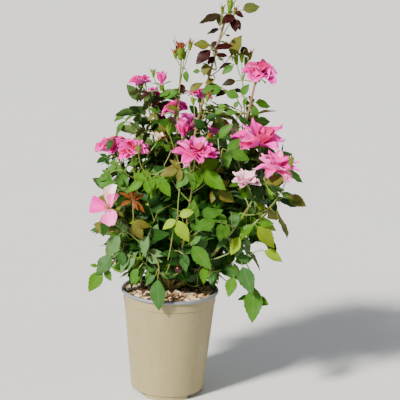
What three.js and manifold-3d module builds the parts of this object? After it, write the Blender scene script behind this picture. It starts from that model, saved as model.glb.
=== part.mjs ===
// A shrub rose in flower, growing in a round taupe nursery pot filled with bark compost.
// Millimetres, +Z up. The origin is the centre of the pot's underside and -Y is the front.
// The pot is a thin moulded shell with a rolled rim. It stands on the flat middle of its underside
// and on three feet round its edge, with a raised channel between them. The compost fills it, and
// a short rootstock stands on the compost. Canes rise from the rootstock, and each ends where it
// enters a mass of foliage: a stem, its side twigs and its three-part leaves. Low shoots have no
// cane of their own. Each flower or bunch of buds sits on its own stalk.

import * as THREE from "three";
import Module from "manifold-3d";
import { mergeVertices } from "three/addons/utils/BufferGeometryUtils.js";

const wasm = await Module();
wasm.setup();

// Pot and compost
const POT_HEIGHT = 210;
const RIM_RADIUS = 95;
const RIM_BEAD = 5;
const WALL = 1.6;
const WALL_TOP_RADIUS = 91.5;
const SHOULDER_DROP = 24;
const SHOULDER_STEP = 0.8;
const BASE_RADIUS = 72;
const FOOT_HEIGHT = 8;
const FOOT_INSET = 1.6;
const FOOT_COUNT = 3;
const FOOT_ANGLE = 70;
const FLOOR_THICKNESS = 2.4;
const PAD_RADIUS = 40;
const DRAIN_HOLES = 5;
const DRAIN_RADIUS = 5;
const DRAIN_RING = 55;
const ROUND_SIDES = 28;
const COMPOST_TOP = 194;
const COMPOST_MOUND = 4;

// Rootstock and limbs
const STOCK_HEIGHT = 56;
const STOCK_RADIUS = 12.5;
const STOCK_FLARE = 20;
const STOCK_LEAN = 3;
const STOCK_PROFILE = [
  [0, 0], [1.6, 0], [1.36, 0.06], [1.16, 0.2], [1.04, 0.45], [1, 0.7], [0.8, 0.9], [0.4, 1],
  [0, 1.02],
];
const CANE_RADIUS = 3.8;
const STEM_RADIUS = 2.6;
const TIP_RADIUS = 2;
const TWIG_RADIUS = 1.7;
const STALK_RADIUS = 1.3;

// Air between neighbouring solids: between fitted faces, and round limbs and flowers
const GAP = 0.3;
const CLEARANCE = 0.6;

// Side twigs: how far they swing out, run on along their stem and turn up, as shares of length
const TWIG_OUT = 0.66;
const TWIG_ON = 0.4;
const TWIG_UP = 0.3;

// Leaves: a stalk with one end leaflet and a pair below it
const NODE_SPACING = 32;
const NODE_TURN = 137.5;
const LEAF_STALK = 46;
const LEAFLET_LENGTH = 57;
const LEAFLET_WIDTH = 0.68;
const LEAFLET_THICKNESS = 0.028;
const SIDE_LEAFLET = 0.78;
const PAIR_PLACE = 0.62;
const LEAF_STALK_RADIUS = 0.95;
const LEAFLET_ROOT = -0.2;
const LEAF_DROOP = 0.45;
const FACES_OUT = 1.2;
const LEAF_LIFT = 58;
const SHRINK_STEPS = [1, 0.82, 0.66];
const SWING_STEPS = [0, 0.5, -0.5, 1.1, -1.1, 1.8, -1.8];
const EASE_STEPS = [1, 0.55];
const SPACE_MARGIN = 0.7;

// The crown as a whole
const CROWN_CENTRE_X = 43;
const CROWN_HALF_WIDTH = 206;
const CROWN_HALF_DEPTH = 185;
const LOWEST_LEAF = 160;

// Flowers as rows of radius, height and lobe depth, in shares of the flower's radius. The rows run
// from under the heart, over the rim or rims, to the top of the heart.
const PETAL_LOBES = 5;
const OPEN_ROWS = [[0, -0.3, 0], [1, 0.2, 0.16], [0.6, 0.06, 0], [0.66, 0.4, -0.14], [0, 0.1, 0]];
const HALF_ROWS = [[0, -0.5, 0], [0.8, 0.2, 0], [0.85, 1.3, 0.2], [0, 1.0, 0]];
const BUD_WIDTH = 8;
const BUD_SPREAD = [[0, 0, 3], [1.3, 0.25, 2.4], [-1.1, 0.6, 2]];

// Each shoot: its name, where it leaves the rootstock (angle, height), its tip (angle, reach,
// height above the ground), how early it leans out, how much it climbs first, the share of its
// length that is bare cane, the side twigs in its foliage and their length.
// Angles are in degrees from +X towards +Y, so -90 is the front.
const SHOOTS = [
  ["tall", 25, 50, 2, 84, 742, 0.25, 0.5, 0.42, 2, 70],
  ["bud", -115, 50, -50, 14, 668, 1.6, 0.5, 0.5, 2, 62],
  ["back_tall", 112, 50, 134, 88, 606, 0.5, 0.45, 0.42, 3, 70],
  ["right_tall", -2, 34, -8, 150, 622, 0.75, 0.4, 0.44, 2, 70],
  ["left", -158, 38, -146, 112, 372, 0.7, 0.5, 0.42, 3, 60],
  ["back_left", 156, 28, 172, 106, 462, 0.8, 0.4, 0.42, 3, 64],
  ["back_right", 55, 34, 44, 140, 490, 0.85, 0.4, 0.42, 2, 64],
  ["front", -76, 20, -70, 116, 488, 0.95, 0.42, 0.42, 3, 68],
  ["front_left", -128, 20, -142, 97, 482, 0.85, 0.42, 0.42, 3, 64],
  ["right", -10, 28, -19, 172, 508, 0.85, 0.34, 0.42, 3, 66],
  ["front_right", -52, 16, -33, 204, 464, 0.72, 0.4, 0.42, 3, 66],
  ["back", 88, 22, 84, 118, 505, 0.85, 0.4, 0.42, 2, 66],
  ["low_front", -94, 8, -98, 88, 262, 0.5, 0.85, 0, 3, 54],
  ["low_front_left", -155, 9, -158, 86, 284, 0.5, 0.85, 0, 3, 54],
  ["low_back_left", 150, 9, 150, 86, 290, 0.5, 0.8, 0, 3, 56],
  ["low_back", 100, 9, 98, 92, 280, 0.5, 0.85, 0, 3, 56],
  ["low_back_right", 30, 9, 34, 112, 292, 0.5, 0.8, 0, 3, 56],
  ["low_right", -22, 8, -28, 128, 266, 0.5, 0.95, 0, 3, 56],
].map(([name, baseAngle, baseHeight, angle, reach, height, lean, climb, bare, twigs, twigLength]) =>
  ({ name, baseAngle, baseHeight, angle, reach, height, lean, climb, bare, twigs, twigLength }));

// Each flower head: its name, its shoot, the share of the shoot where its stalk starts, the place
// of its heart (angle, reach, height), its kind, its radius, and the way it faces (angle, and
// degrees from straight up).
const FLOWERS = [
  ["tall_buds", "tall", 1, 2, 85, 758, "buds", 10, 0, 0],
  ["bud_buds", "bud", 1, -50, 14, 682, "buds", 9, 180, 12],
  ["right_tall_bloom", "right_tall", 1, -8, 154, 640, "open", 37, -60, 42],
  ["right_tall_buds", "right_tall", 0.82, 4, 126, 664, "buds", 8, 60, 8],
  ["back_tall_bloom", "back_tall", 1, 134, 92, 624, "open", 35, 120, 40],
  ["crown_bloom", "back_tall", 0.6, 100, 22, 572, "open", 28, 160, 25],
  ["crown_side_bloom", "tall", 0.62, 42, 64, 590, "open", 26, 60, 35],
  ["crown_opening", "bud", 0.8, -142, 36, 616, "half", 15, -140, 12],
  ["front_bloom", "front", 1, -70, 118, 504, "open", 42, -80, 48],
  ["front_side_bloom", "front", 0.85, -78, 70, 536, "half", 19, -100, 30],
  ["front_left_bloom", "front_left", 1, -142, 98, 498, "open", 33, -110, 46],
  ["right_bloom", "right", 1, -20, 174, 526, "open", 42, -60, 40],
  ["front_right_bloom", "front_right", 1, -32, 217, 482, "open", 30, -40, 48],
  ["front_right_pale", "front_right", 0.84, -44, 180, 458, "open", 30, -90, 58],
  ["left_pale", "left", 1, -144, 150, 394, "open", 31, -120, 62],
  ["back_left_bloom", "back_left", 1, 172, 122, 488, "open", 38, 175, 45],
  ["back_bloom", "back", 1, 84, 121, 522, "open", 41, 90, 45],
  ["back_right_bloom", "back_right", 1, 44, 143, 508, "open", 39, 45, 45],
  ["back_side_bloom", "back", 0.84, 112, 118, 560, "half", 19, 110, 22],
  ["front_spent", "front_left", 0.85, -120, 62, 512, "half", 14, -60, 25],
].map(([name, shoot, from, angle, reach, height, kind, radius, faces, tilt]) =>
  ({ name, shoot, from, angle, reach, height, kind, radius, faces, tilt }));

const UP = new THREE.Vector3(0, 0, 1);

const COLOURS = {
  pot: { color: 0xb3ab97, roughness: 0.55, metalness: 0 },
  compost: { color: 0x6f5844, roughness: 1, metalness: 0 },
  cane: { color: 0x7c7a45, roughness: 0.75, metalness: 0 },
  foliage: { color: 0x4d6b30, roughness: 0.6, metalness: 0 },
  bloom: { color: 0xe0569f, roughness: 0.65, metalness: 0 },
  bud: { color: 0x8c6a45, roughness: 0.65, metalness: 0 },
};

// Numbers that repeat from run to run.
function seeded(seed) {
  let state = seed * 7919 + 13;
  return () => {
    state = (state * 48271) % 2147483647;
    return state / 2147483647;
  };
}

function radians(degrees) {
  return THREE.MathUtils.degToRad(degrees);
}

function polar(angle, reach, height) {
  return new THREE.Vector3(
    reach * Math.cos(radians(angle)), reach * Math.sin(radians(angle)), height);
}

// A closed geometry as a solid that can be joined and cut.
function solidOf(geometry) {
  const plain = geometry.clone();
  plain.deleteAttribute("normal");
  plain.deleteAttribute("uv");
  const merged = mergeVertices(plain, 1e-4);
  const triVerts = new Uint32Array(merged.index.array);
  const vertProperties = merged.attributes.position.array;
  const made = new wasm.Manifold(new wasm.Mesh({ numProp: 3, vertProperties, triVerts }));
  if (made.volume() >= 0) return made;
  for (let i = 0; i < triVerts.length; i += 3) {
    [triVerts[i + 1], triVerts[i + 2]] = [triVerts[i + 2], triVerts[i + 1]];
  }
  return new wasm.Manifold(new wasm.Mesh({ numProp: 3, vertProperties, triVerts }));
}

function geometryOf(solid) {
  const { numProp, numVert, vertProperties, triVerts } = solid.getMesh();
  const places = new Float32Array(numVert * 3);
  for (let i = 0; i < numVert; i++) {
    places.set(vertProperties.subarray(i * numProp, i * numProp + 3), i * 3);
  }
  const geometry = new THREE.BufferGeometry();
  geometry.setAttribute("position", new THREE.BufferAttribute(places, 3));
  geometry.setIndex(new THREE.BufferAttribute(triVerts, 1));
  const faceted = geometry.toNonIndexed();
  faceted.computeVertexNormals();
  return faceted;
}

// The largest closed body of a solid: loose scraps and sealed hollows go.
function mainBody(solid) {
  return solid.decompose().reduce((a, b) => (b.volume() > a.volume() ? b : a));
}

function lathe(profile, sides) {
  const points = profile.map(([radius, height]) => new THREE.Vector2(radius, height));
  return solidOf(new THREE.LatheGeometry(points, sides).rotateX(Math.PI / 2));
}

// A geometry whose points are each moved to a new place.
function reshaped(geometry, place) {
  const points = geometry.attributes.position;
  const point = new THREE.Vector3();
  for (let i = 0; i < points.count; i++) {
    point.copy(place(point.fromBufferAttribute(points, i)));
    points.setXYZ(i, point.x, point.y, point.z);
  }
  return geometry;
}

// One tapering limb along a curve that lies in a plane, closed at both ends.
function limb(curve, from, to, startRadius, endRadius, sides, steps) {
  const planeNormal = new THREE.Vector3()
    .subVectors(curve.v1, curve.v0)
    .cross(new THREE.Vector3().subVectors(curve.v2, curve.v1))
    .normalize();
  if (planeNormal.lengthSq() < 0.5) planeNormal.set(1, 0, 0);
  return solidOf(reshaped(new THREE.CylinderGeometry(1, 1, 1, sides, steps), (p) => {
    const share = p.y + 0.5;
    const t = from + (to - from) * share;
    const across = new THREE.Vector3().crossVectors(planeNormal, curve.getTangent(t)).normalize();
    const radius = startRadius + (endRadius - startRadius) * share;
    return curve.getPoint(t)
      .addScaledVector(across, p.x * radius)
      .addScaledVector(planeNormal, p.z * radius);
  }));
}

// A blade of eight faces: a leaflet or a bud. It is widest at the given share of its length, and
// folded up along its middle.
function blade({ root, along, normal, length, width, thickness, widest, fold }) {
  const side = new THREE.Vector3().crossVectors(normal, along).normalize();
  return solidOf(reshaped(new THREE.OctahedronGeometry(1, 0), (p) => {
    const share = p.y > 0.5 ? 1 : p.y < -0.5 ? 0 : widest;
    const raised = Math.abs(p.x) * fold * width + p.z * thickness / 2;
    return root.clone()
      .addScaledVector(along, share * length)
      .addScaledVector(side, p.x * width / 2)
      .addScaledVector(normal, raised);
  }));
}

// A wedge of the given angle about Z, that cuts a ring into feet.
function wedge(centreAngle, angle, radius, height) {
  const corners = [-0.5, -0.25, 0, 0.25, 0.5].map((share) =>
    polar(centreAngle + share * angle, radius, 0));
  const outline = new THREE.Shape([
    new THREE.Vector2(0, 0), ...corners.map((c) => new THREE.Vector2(c.x, c.y))]);
  return solidOf(new THREE.ExtrudeGeometry(
    outline, { depth: height + 2, bevelEnabled: false }).translate(0, 0, -0.5));
}

// The pot: a shell with a rolled rim, a shoulder line, drain holes and a notched foot.
function potShell() {
  const floor = FOOT_HEIGHT + FLOOR_THICKNESS;
  const shoulder = POT_HEIGHT - SHOULDER_DROP;
  const slope = (WALL_TOP_RADIUS - BASE_RADIUS) / (POT_HEIGHT - FOOT_HEIGHT);
  const wallAt = (height) => BASE_RADIUS + slope * (height - FOOT_HEIGHT);
  const shell = lathe([
    [0, 0],
    [PAD_RADIUS, 0],
    [PAD_RADIUS + 3, FOOT_HEIGHT],
    [BASE_RADIUS - 2, FOOT_HEIGHT],
    [BASE_RADIUS, FOOT_HEIGHT + 3],
    [wallAt(shoulder), shoulder],
    [wallAt(shoulder) + SHOULDER_STEP, shoulder + 1.5],
    [wallAt(POT_HEIGHT - RIM_BEAD), POT_HEIGHT - RIM_BEAD - 1],
    [RIM_RADIUS - 1, POT_HEIGHT - RIM_BEAD],
    [RIM_RADIUS, POT_HEIGHT - RIM_BEAD / 2],
    [RIM_RADIUS - 1.2, POT_HEIGHT - 0.4],
    [RIM_RADIUS - 2.8, POT_HEIGHT],
    [WALL_TOP_RADIUS - WALL, POT_HEIGHT - 1.2],
    [wallAt(floor) - WALL, floor],
    [PAD_RADIUS + 1, floor],
    [PAD_RADIUS - 2, FLOOR_THICKNESS],
    [0, FLOOR_THICKNESS],
  ], ROUND_SIDES);
  const ring = lathe([
    [BASE_RADIUS - FOOT_INSET - 5, 0],
    [BASE_RADIUS - FOOT_INSET - 1, 0],
    [BASE_RADIUS - FOOT_INSET, FOOT_HEIGHT + 1],
    [BASE_RADIUS - FOOT_INSET - 5, FOOT_HEIGHT + 1],
    [BASE_RADIUS - FOOT_INSET - 5, 0],
  ], ROUND_SIDES);
  const feet = [...Array(FOOT_COUNT).keys()].map((i) =>
    ring.intersect(wedge(-90 + i * 360 / FOOT_COUNT, FOOT_ANGLE, BASE_RADIUS * 2, FOOT_HEIGHT)));
  const drains = [...Array(DRAIN_HOLES).keys()].map((i) => {
    const hole = new THREE.CylinderGeometry(DRAIN_RADIUS, DRAIN_RADIUS, 20, 6).rotateX(Math.PI / 2);
    const place = polar(i * 360 / DRAIN_HOLES, DRAIN_RING, FOOT_HEIGHT);
    return solidOf(hole.translate(place.x, place.y, place.z));
  });
  return mainBody(wasm.Manifold.union([shell, ...feet]).subtract(wasm.Manifold.union(drains)));
}

// The compost fills the pot, and mounds a little to a flat where the rootstock stands.
function compost() {
  const floor = FOOT_HEIGHT + FLOOR_THICKNESS + GAP;
  const slope = (WALL_TOP_RADIUS - BASE_RADIUS) / (POT_HEIGHT - FOOT_HEIGHT);
  const inside = (height) => BASE_RADIUS + slope * (height - FOOT_HEIGHT) - WALL - GAP * 3;
  return lathe([
    [0, FLOOR_THICKNESS + GAP * 2],
    [PAD_RADIUS - 3, FLOOR_THICKNESS + GAP * 2],
    [PAD_RADIUS, floor],
    [inside(floor), floor],
    [inside(COMPOST_TOP), COMPOST_TOP],
    [STOCK_FLARE * 2.4, COMPOST_TOP + COMPOST_MOUND * 0.7],
    [STOCK_FLARE * 1.3, COMPOST_TOP + COMPOST_MOUND],
    [0, COMPOST_TOP + COMPOST_MOUND],
  ], ROUND_SIDES);
}

// The rootstock, from a flat cut at the compost, with a flare at its foot.
function rootstock(swell) {
  const foot = COMPOST_TOP + COMPOST_MOUND + GAP - swell;
  const outline = STOCK_PROFILE.map(([radius, height]) => new THREE.Vector2(
    radius ? radius * STOCK_RADIUS + swell : 0, height * (STOCK_HEIGHT + 2 * swell)));
  const upright = new THREE.LatheGeometry(outline, 12).rotateX(Math.PI / 2);
  return solidOf(reshaped(upright, (p) =>
    new THREE.Vector3(p.x + STOCK_LEAN * p.z / STOCK_HEIGHT, p.y, p.z + foot)));
}

// The curve that a shoot follows from the middle of the rootstock to its tip.
function shootCurve(shoot) {
  const stockTop = COMPOST_TOP + COMPOST_MOUND;
  const start = polar(shoot.baseAngle, 6, stockTop + shoot.baseHeight - 4);
  const tip = polar(shoot.angle, shoot.reach, shoot.height);
  const out = polar(shoot.baseAngle, 1, 0).lerp(polar(shoot.angle, 1, 0), 0.5).normalize();
  const middle = out.multiplyScalar(shoot.lean * shoot.reach);
  middle.z = start.z + shoot.climb * (tip.z - start.z);
  return new THREE.QuadraticBezierCurve3(start, middle, tip);
}

// Where side twigs and leaves grow on a shoot.
function growthOf(shoot, index) {
  const random = seeded(index + 1);
  const curve = shootCurve(shoot);
  const leafy = 1 - shoot.bare;
  const twigs = [];
  for (let i = 0; i < shoot.twigs; i++) {
    const share = shoot.bare + leafy * (0.16 + 0.62 * (i + 0.5 * random()) / shoot.twigs);
    const turn = radians(360 * (i / shoot.twigs) + 90 * random() + 40 * index);
    const twigLength = shoot.twigLength * (0.8 + 0.4 * random());
    const twig = twigFrom(curve, share, turn, twigLength);
    const twigCount = Math.floor(twigLength / NODE_SPACING) + 1;
    const leaves = [...Array(twigCount).keys()].map((n) =>
      leafAt(twig, (n + 1) / twigCount, n, random, 0.95));
    twigs.push({ curve: twig, leaves });
  }
  const count = Math.floor(curve.getLength() * leafy / NODE_SPACING);
  const leaves = [...Array(count).keys()].map((i) => {
    const share = shoot.bare + leafy * (i + 0.8) / (count + 0.6);
    return leafAt(curve, share, i, random, 1.1 - 0.45 * i / count);
  });
  return { shoot, curve, twigs, leaves };
}

// Two directions square to a tangent: level, and the way that the sky lies.
function aroundTangent(tangent) {
  const level = new THREE.Vector3().crossVectors(UP, tangent);
  if (level.lengthSq() < 1e-4) level.set(1, 0, 0);
  level.normalize();
  return [level, new THREE.Vector3().crossVectors(tangent, level).normalize()];
}

function twigFrom(curve, share, turn, length) {
  const start = curve.getPoint(share);
  const tangent = curve.getTangent(share);
  const [level, skyward] = aroundTangent(tangent);
  const outward = new THREE.Vector3()
    .addScaledVector(level, Math.cos(turn)).addScaledVector(skyward, Math.sin(turn));
  const middle = start.clone()
    .addScaledVector(outward, length * TWIG_OUT * 0.58)
    .addScaledVector(tangent, length * TWIG_ON * 0.55);
  const end = start.clone()
    .addScaledVector(outward, length * TWIG_OUT)
    .addScaledVector(tangent, length * TWIG_ON)
    .addScaledVector(UP, length * TWIG_UP);
  return new THREE.QuadraticBezierCurve3(start, middle, end);
}

function leafAt(curve, share, node, random, vigour) {
  const turn = radians(node * NODE_TURN + 50 * random());
  const lift = radians(LEAF_LIFT + 24 * (random() - 0.5));
  const size = vigour * (0.9 + 0.2 * random());
  const roll = 0.5 * (random() - 0.5);
  return { curve, share, turn, lift, size, roll };
}

// A stalk and its end leaflet as one closed three-sided form: flat above, keeled below.
function paddle({ root, joint, tip, normal, side, width, thickness }) {
  const outline = [[0, 0], [1, 0], [1, 1], [1, 2], [0, 3]].map(([x, y]) => new THREE.Vector2(x, y));
  const spots = [root, joint, joint.clone().lerp(tip, 0.42), tip];
  return solidOf(reshaped(new THREE.LatheGeometry(outline, 3), (p) => {
    const row = Math.round(p.y);
    const across = row < 2 ? p.x * LEAF_STALK_RADIUS : p.x * width * 0.58;
    const down = row < 2 ? p.z * LEAF_STALK_RADIUS : p.z > 0 ? thickness * p.z : width * 0.2 * p.z;
    return spots[row].clone().addScaledVector(side, across).addScaledVector(normal, -down);
  }));
}

// The pieces of one leaf: its stalk with an end leaflet that droops, and a pair below it.
function leafPieces(leaf, step, swing, ease) {
  const scale = leaf.size * step;
  const lift = leaf.lift * ease;
  const turn = leaf.turn + swing;
  const tangent = leaf.curve.getTangent(leaf.share);
  const [level, skyward] = aroundTangent(tangent);
  const along = new THREE.Vector3()
    .addScaledVector(tangent, Math.cos(lift))
    .addScaledVector(level, Math.sin(lift) * Math.cos(turn))
    .addScaledVector(skyward, Math.sin(lift) * Math.sin(turn))
    .normalize();
  const root = leaf.curve.getPoint(leaf.share);
  const joint = root.clone().addScaledVector(along, LEAF_STALK * scale);
  const light = new THREE.Vector3(root.x, root.y, 0).normalize().multiplyScalar(FACES_OUT).add(UP);
  light.addScaledVector(aroundTangent(along)[0], leaf.roll);
  const normal = light.addScaledVector(along, -light.dot(along)).normalize();
  const side = new THREE.Vector3().crossVectors(normal, along).normalize();
  const drooped = along.clone().addScaledVector(UP, -LEAF_DROOP).normalize();
  const length = LEAFLET_LENGTH * scale;
  const tip = joint.clone().addScaledVector(drooped, length);
  const pieces = [paddle({
    root, joint, tip, normal, side, width: length * LEAFLET_WIDTH,
    thickness: length * LEAFLET_THICKNESS,
  })];
  const pairLength = length * SIDE_LEAFLET;
  for (const sign of [1, -1]) {
    const outward = drooped.clone().multiplyScalar(0.3).addScaledVector(side, sign).normalize();
    pieces.push(blade({
      root: root.clone().addScaledVector(along, LEAF_STALK * scale * PAIR_PLACE)
        .addScaledVector(outward, LEAFLET_ROOT),
      along: outward, normal, length: pairLength, width: pairLength * LEAFLET_WIDTH,
      thickness: pairLength * LEAFLET_THICKNESS, widest: 0.45, fold: 0.1,
    }));
  }
  return pieces;
}

// A flower head on its stalk: an open or half open flower, or a bunch of buds.
function flowerHead(flower, growth, swell) {
  const stemPoint = growth.curve.getPoint(flower.from);
  const tangent = growth.curve.getTangent(flower.from);
  const heart = polar(flower.angle, flower.reach, flower.height);
  const facing = polar(flower.faces, Math.sin(radians(flower.tilt)), Math.cos(radians(flower.tilt)));
  const foot = heart.clone().addScaledVector(facing, -flower.radius * 0.12);
  const distance = stemPoint.distanceTo(foot);
  const middle = flower.from === 1
    ? stemPoint.clone().addScaledVector(tangent, distance * 0.5)
    : stemPoint.clone().lerp(foot, 0.5).addScaledVector(tangent, distance * 0.12);
  const curve = new THREE.QuadraticBezierCurve3(stemPoint, middle, foot);
  const start = flower.from === 1 ? CLEARANCE / distance : 0;
  const stalk = limb(curve, start, 1, STALK_RADIUS + swell, STALK_RADIUS + swell, 4, 2);
  if (flower.kind === "buds") {
    return wasm.Manifold.union([stalk, ...budBunch(flower, foot, facing, swell)]);
  }
  return stalk.add(swell
    ? petalSpace(flower, heart, facing, swell)
    : petals(flower, heart, facing));
}

// Swollen petals with a ball inside them, that keep leaves out of a flower.
function petalSpace(flower, heart, facing, swell) {
  const centre = heart.clone().addScaledVector(facing, flower.radius * 0.25);
  const ball = new THREE.IcosahedronGeometry(flower.radius * 0.8, 0);
  const wider = { ...flower, radius: flower.radius + 3 * swell };
  return petals(wider, heart, facing).add(solidOf(ball.translate(centre.x, centre.y, centre.z)));
}

// Petals as one closed bowl with a lobed rim, and in an open flower a cup standing inside it.
function petals(flower, heart, facing) {
  const rows = flower.kind === "open" ? OPEN_ROWS : HALF_ROWS;
  const outline = rows.map(([radius], row) => new THREE.Vector2(radius, row));
  const [level, skyward] = aroundTangent(facing);
  return solidOf(reshaped(new THREE.LatheGeometry(outline, PETAL_LOBES * 2), (p) => {
    const [, height, lobe] = rows[Math.round(p.y)];
    const spread = flower.radius * (1 + lobe * Math.cos(PETAL_LOBES * Math.atan2(p.z, p.x)));
    return heart.clone()
      .addScaledVector(level, p.x * spread)
      .addScaledVector(skyward, p.z * spread)
      .addScaledVector(facing, height * flower.radius);
  }));
}

// Three buds that spread from the end of their stalk, each long and pointed at both ends.
function budBunch(flower, foot, facing, swell) {
  const [level, skyward] = aroundTangent(facing);
  return BUD_SPREAD.map(([x, y, rise]) => {
    const reach = new THREE.Vector3()
      .addScaledVector(level, x * flower.radius)
      .addScaledVector(skyward, y * flower.radius)
      .addScaledVector(facing, rise * flower.radius);
    const along = reach.clone().normalize();
    return blade({
      root: foot.clone().addScaledVector(along, -4), along, normal: aroundTangent(along)[1],
      length: reach.length() + 4 + swell, width: BUD_WIDTH + 2 * swell,
      thickness: BUD_WIDTH + 2 * swell, widest: 0.6, fold: 0,
    });
  });
}

// Points along a growth that hold its space.
function samplesOf(growth) {
  const points = [];
  const add = (curve, from) => {
    const steps = Math.max(2, Math.ceil(curve.getLength() * (1 - from) / 8));
    for (let i = 0; i <= steps; i++) points.push(curve.getPoint(from + (1 - from) * i / steps));
  };
  add(growth.curve, growth.shoot.bare);
  growth.twigs.forEach((twig) => add(twig.curve, 0));
  return points;
}

function nearest(point, samples) {
  return samples.reduce((least, sample) => Math.min(least, point.distanceTo(sample)), Infinity);
}

function cornersOf(solid) {
  const { numProp, numVert, vertProperties } = solid.getMesh();
  return [...Array(numVert).keys()].map((i) =>
    new THREE.Vector3().fromArray(vertProperties, i * numProp));
}

// True if a point is within the width and depth of the whole crown, and not too low.
function insideCrown(point) {
  const across = (point.x - CROWN_CENTRE_X) / CROWN_HALF_WIDTH;
  return point.z > LOWEST_LEAF && Math.hypot(across, point.y / CROWN_HALF_DEPTH) < 1;
}

// True if every corner is inside the crown and nearer to its own growth than to any other.
function keepsToItsSpace(pieces, own, others) {
  return pieces.every((piece) => cornersOf(piece).every((corner) => {
    if (!insideCrown(corner)) return false;
    const home = nearest(corner, own) + SPACE_MARGIN;
    return others.every((samples) => nearest(corner, samples) > home);
  }));
}

function touchesAny(pieces, guards) {
  return pieces.some((piece) => guards.some((guard) => !piece.intersect(guard).isEmpty()));
}

// A leaf at the largest size, and the least swing round its twig, that stays in its space and
// clear of every limb and flower.
function fittedLeaf(leaf, own, others, guards) {
  for (const step of SHRINK_STEPS) {
    for (const ease of EASE_STEPS) {
      for (const swing of SWING_STEPS) {
        const pieces = leafPieces(leaf, step, swing, ease);
        if (keepsToItsSpace(pieces, own, others) && !touchesAny(pieces, guards)) return pieces;
      }
    }
  }
  return [];
}

function stemOf({ shoot, curve }, swell) {
  const startRadius = (shoot.bare ? STEM_RADIUS : STEM_RADIUS * 0.9) + swell;
  const gap = shoot.bare ? GAP / curve.getLength() : 0;
  return limb(curve, shoot.bare + gap, 1, startRadius, TIP_RADIUS + swell, 5, 4);
}

function twigOf(twig, swell) {
  return limb(twig, 0, 1, TWIG_RADIUS + swell, TWIG_RADIUS * 0.9 + swell, 3, 2);
}

function meshOf(name, solid, colour) {
  const mesh = new THREE.Mesh(geometryOf(solid), new THREE.MeshStandardMaterial(COLOURS[colour]));
  mesh.name = name;
  return mesh;
}

function roseBush() {
  const bush = new THREE.Group();
  bush.add(meshOf("pot", potShell(), "pot"));
  bush.add(meshOf("compost", compost(), "compost"));
  bush.add(meshOf("rootstock", rootstock(0), "cane"));

  // Canes and stems. What is blocked is kept clear by every twig and leaf.
  const growths = SHOOTS.map(growthOf);
  const [wide, high] = [RIM_RADIUS + 1, POT_HEIGHT + 1];
  const potGuard = lathe([[0, 0], [wide, 0], [wide, high], [0, high]], ROUND_SIDES);
  const stockGuard = rootstock(CLEARANCE);
  const blocked = [stockGuard, potGuard];
  for (const growth of growths) {
    const { shoot, curve } = growth;
    const stem = stemOf(growth, 0);
    growth.stem = shoot.bare ? stem : mainBody(stem.subtract(stockGuard));
    growth.guards = [stemOf(growth, CLEARANCE)];
    if (shoot.bare) {
      const caneOf = (swell) =>
        limb(curve, 0, shoot.bare, CANE_RADIUS + swell, STEM_RADIUS + swell, 7, 4);
      blocked.push(caneOf(CLEARANCE));
      bush.add(meshOf(`cane_${shoot.name}`, mainBody(caneOf(0).subtract(stockGuard)), "cane"));
    }
  }
  for (const flower of FLOWERS) {
    const growth = growths.find(({ shoot }) => shoot.name === flower.shoot);
    blocked.push(flowerHead(flower, growth, CLEARANCE));
    const head = mainBody(flowerHead(flower, growth, 0).subtract(growth.guards[0]));
    bush.add(meshOf(flower.name, head, flower.kind === "buds" ? "bud" : "bloom"));
  }

  // Side twigs, then the leaves that fit round them
  const guardsBut = (own) => growths.flatMap((g) => (g === own ? [] : g.guards));
  for (const growth of growths) {
    growth.twigs = growth.twigs.filter(({ curve }) => {
      const twig = twigOf(curve, 0);
      if (!cornersOf(twig).every(insideCrown)) return false;
      if (touchesAny([twig], [...blocked, ...guardsBut(growth)])) return false;
      growth.guards.push(twigOf(curve, CLEARANCE));
      return true;
    });
  }
  const samples = growths.map(samplesOf);
  growths.forEach((growth, index) => {
    const others = samples.filter((_, i) => i !== index);
    const guards = [...blocked, ...guardsBut(growth)];
    const leaves = [];
    for (const leaf of [...growth.leaves, ...growth.twigs.flatMap((twig) => twig.leaves)]) {
      leaves.push(...fittedLeaf(leaf, samples[index], others, [...guards, ...leaves]));
    }
    const twigs = growth.twigs.map((twig) => twigOf(twig.curve, 0));
    const mass = mainBody(wasm.Manifold.union([growth.stem, ...twigs, ...leaves]));
    bush.add(meshOf(`foliage_${growth.shoot.name}`, mass, "foliage"));
  });
  return bush;
}

export default roseBush();
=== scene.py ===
"""A shrub rose in flower in its nursery pot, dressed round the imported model.

The pot, the compost, the rootstock and the canes are modelled one by one. Stems, twigs, leaves,
flowers and bark chips are many small things, so each kind is gathered in arrays and joined.
Tables are in millimetres, as in the part's source, and meshes are in metres.
"""

import math
from collections import namedtuple

import bpy
import numpy as np
from bpy.props import FloatProperty, FloatVectorProperty, IntProperty, PointerProperty
from mathutils import Matrix, Vector


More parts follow.
